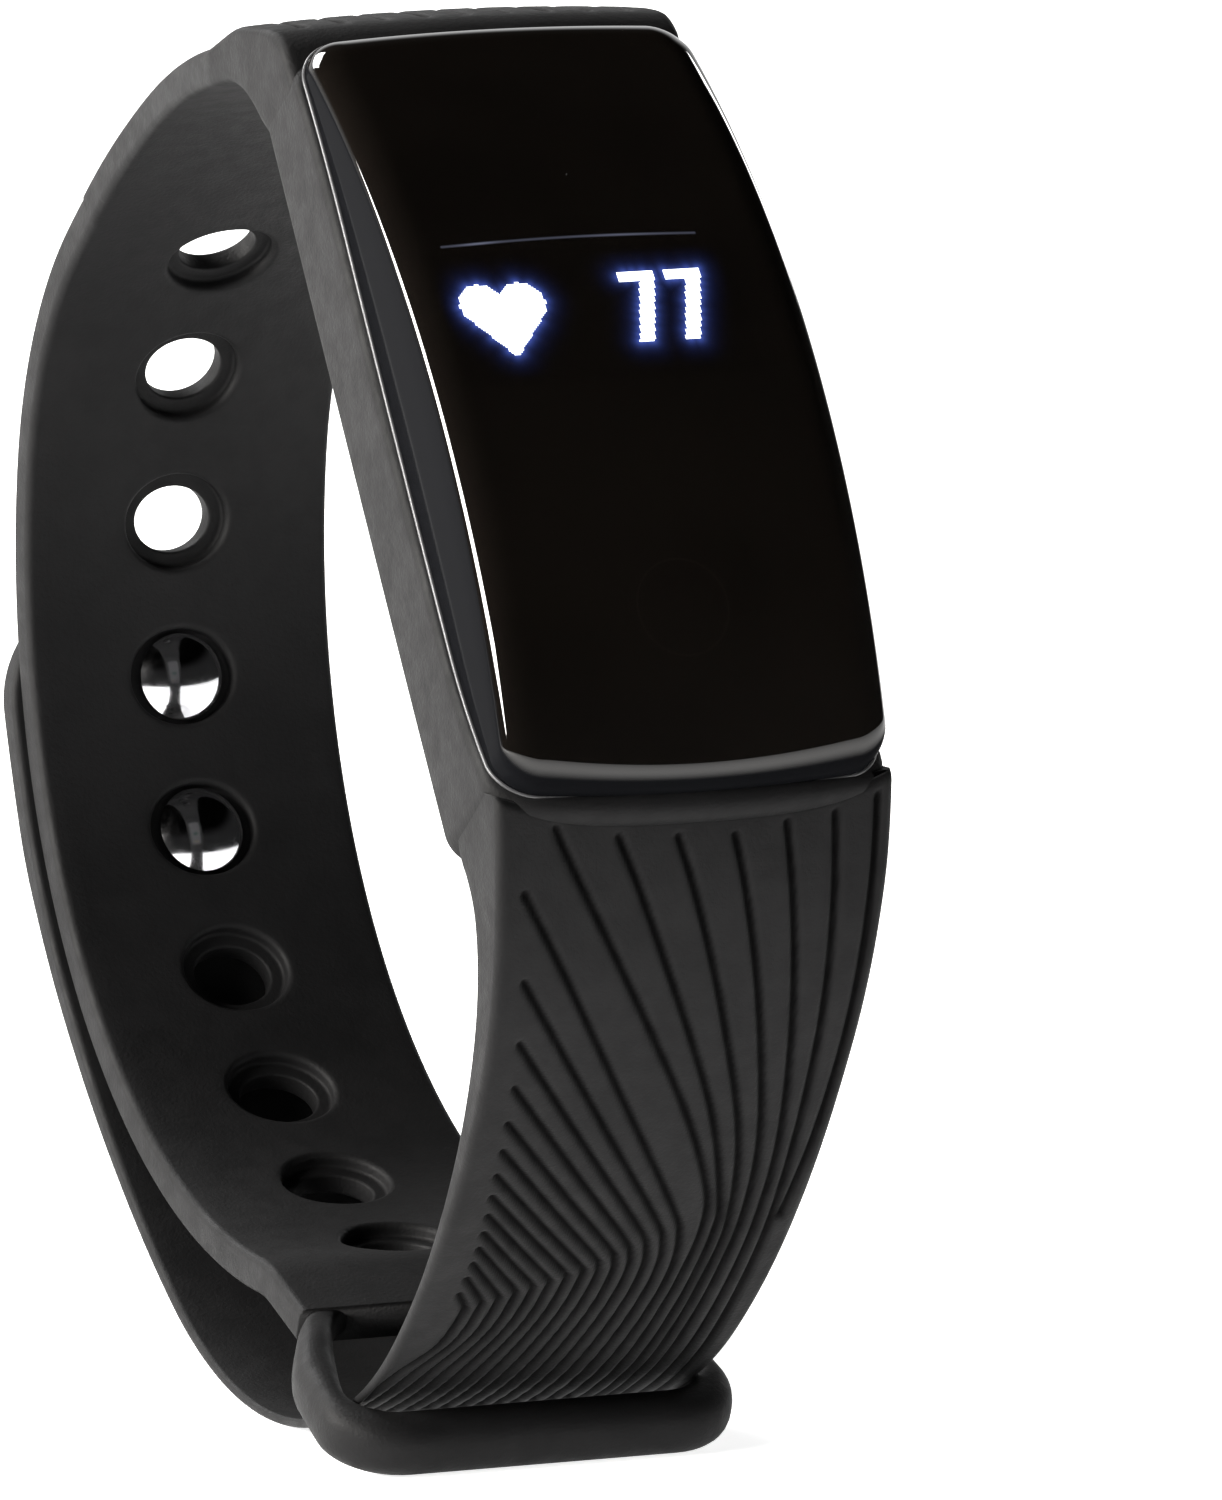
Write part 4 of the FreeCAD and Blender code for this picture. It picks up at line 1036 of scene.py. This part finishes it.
def studio_world():
    """White room that is bright behind the band and low down, and dark in front and above."""
    world = bpy.data.worlds.new("studio")
    bpy.context.scene.world = world
    world.use_nodes = True
    tree = world.node_tree
    sky = tree.nodes["Background"]
    where = tree.nodes.new("ShaderNodeTexCoord")
    split = tree.nodes.new("ShaderNodeSeparateXYZ")
    tree.links.new(where.outputs["Generated"], split.inputs[0])
    dim = tree.nodes.new("ShaderNodeMath")
    dim.operation = "MULTIPLY"
    tree.links.new(ramp(tree, split.outputs["Y"], 0.45, 0.85, 0.015, 1.0), dim.inputs[0])
    tree.links.new(ramp(tree, split.outputs["Z"], 0.35, 0.60, 1.0, 0.02), dim.inputs[1])
    tree.links.new(dim.outputs[0], sky.inputs["Strength"])
    sky.inputs["Color"].default_value = (1, 1, 1, 1)


def area(name, where, size, power, color=(1, 1, 1)):
    """Rectangular lamp turned to the middle of the band; metres and watts."""
    data = bpy.data.lights.new(name, "AREA")
    data.shape = "RECTANGLE"
    data.size, data.size_y = size
    data.energy = power
    data.color = color
    obj = bpy.data.objects.new(name, data)
    obj.location = where
    obj.rotation_mode = "QUATERNION"
    obj.rotation_quaternion = (Vector((0, 0, 0.035)) - Vector(where)).to_track_quat("-Z", "Y")
    bpy.context.scene.collection.objects.link(obj)


def camera_at(place, azimuth, elevation, roll, lens):
    """Camera at a place in metres, turned by three angles in degrees, with a lens in mm."""
    data = bpy.data.cameras.new("camera")
    data.sensor_width = 36
    data.lens = lens
    data.clip_start, data.clip_end = 0.01, 50
    eye = bpy.data.objects.new("camera", data)
    az, el, roll = math.radians(azimuth), math.radians(elevation), math.radians(roll)
    look = Vector((math.sin(az) * math.cos(el), math.cos(az) * math.cos(el), -math.sin(el)))
    level = Vector((math.cos(az), -math.sin(az), 0))
    upright = level.cross(look)
    right = level * math.cos(roll) + upright * math.sin(roll)
    up = upright * math.cos(roll) - level * math.sin(roll)
    turned = Matrix((right, up, -look)).transposed().to_4x4()
    turned.translation = Vector(place)
    eye.matrix_world = turned
    bpy.context.scene.collection.objects.link(eye)
    bpy.context.scene.camera = eye


floor_line = np.linspace(-6, 6, 5)      # metres
fx, fy = np.meshgrid(floor_line, floor_line, indexing="ij")
floor = build("floor", np.stack([fx, fy, np.full_like(fx, -0.0001)], -1), quads(5, 5), white_floor(), None)
studio_world()
area("key_left", (-0.86, 0.07, 0.35), (0.95, 0.16), 25.0, (1.0, 0.97, 0.93))
area("back_top", (-0.30, 0.80, 0.75), (0.5, 0.4), 10.0)
area("right_edge", (0.75, 0.56, 0.34), (0.06, 0.35), 0.8)
camera_at((-0.34264, -0.80606, 0.18994), 23.602, 10.375, 0.608, 478.152)
bpy.context.scene.view_settings.view_transform = "Standard"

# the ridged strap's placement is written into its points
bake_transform(ridged)
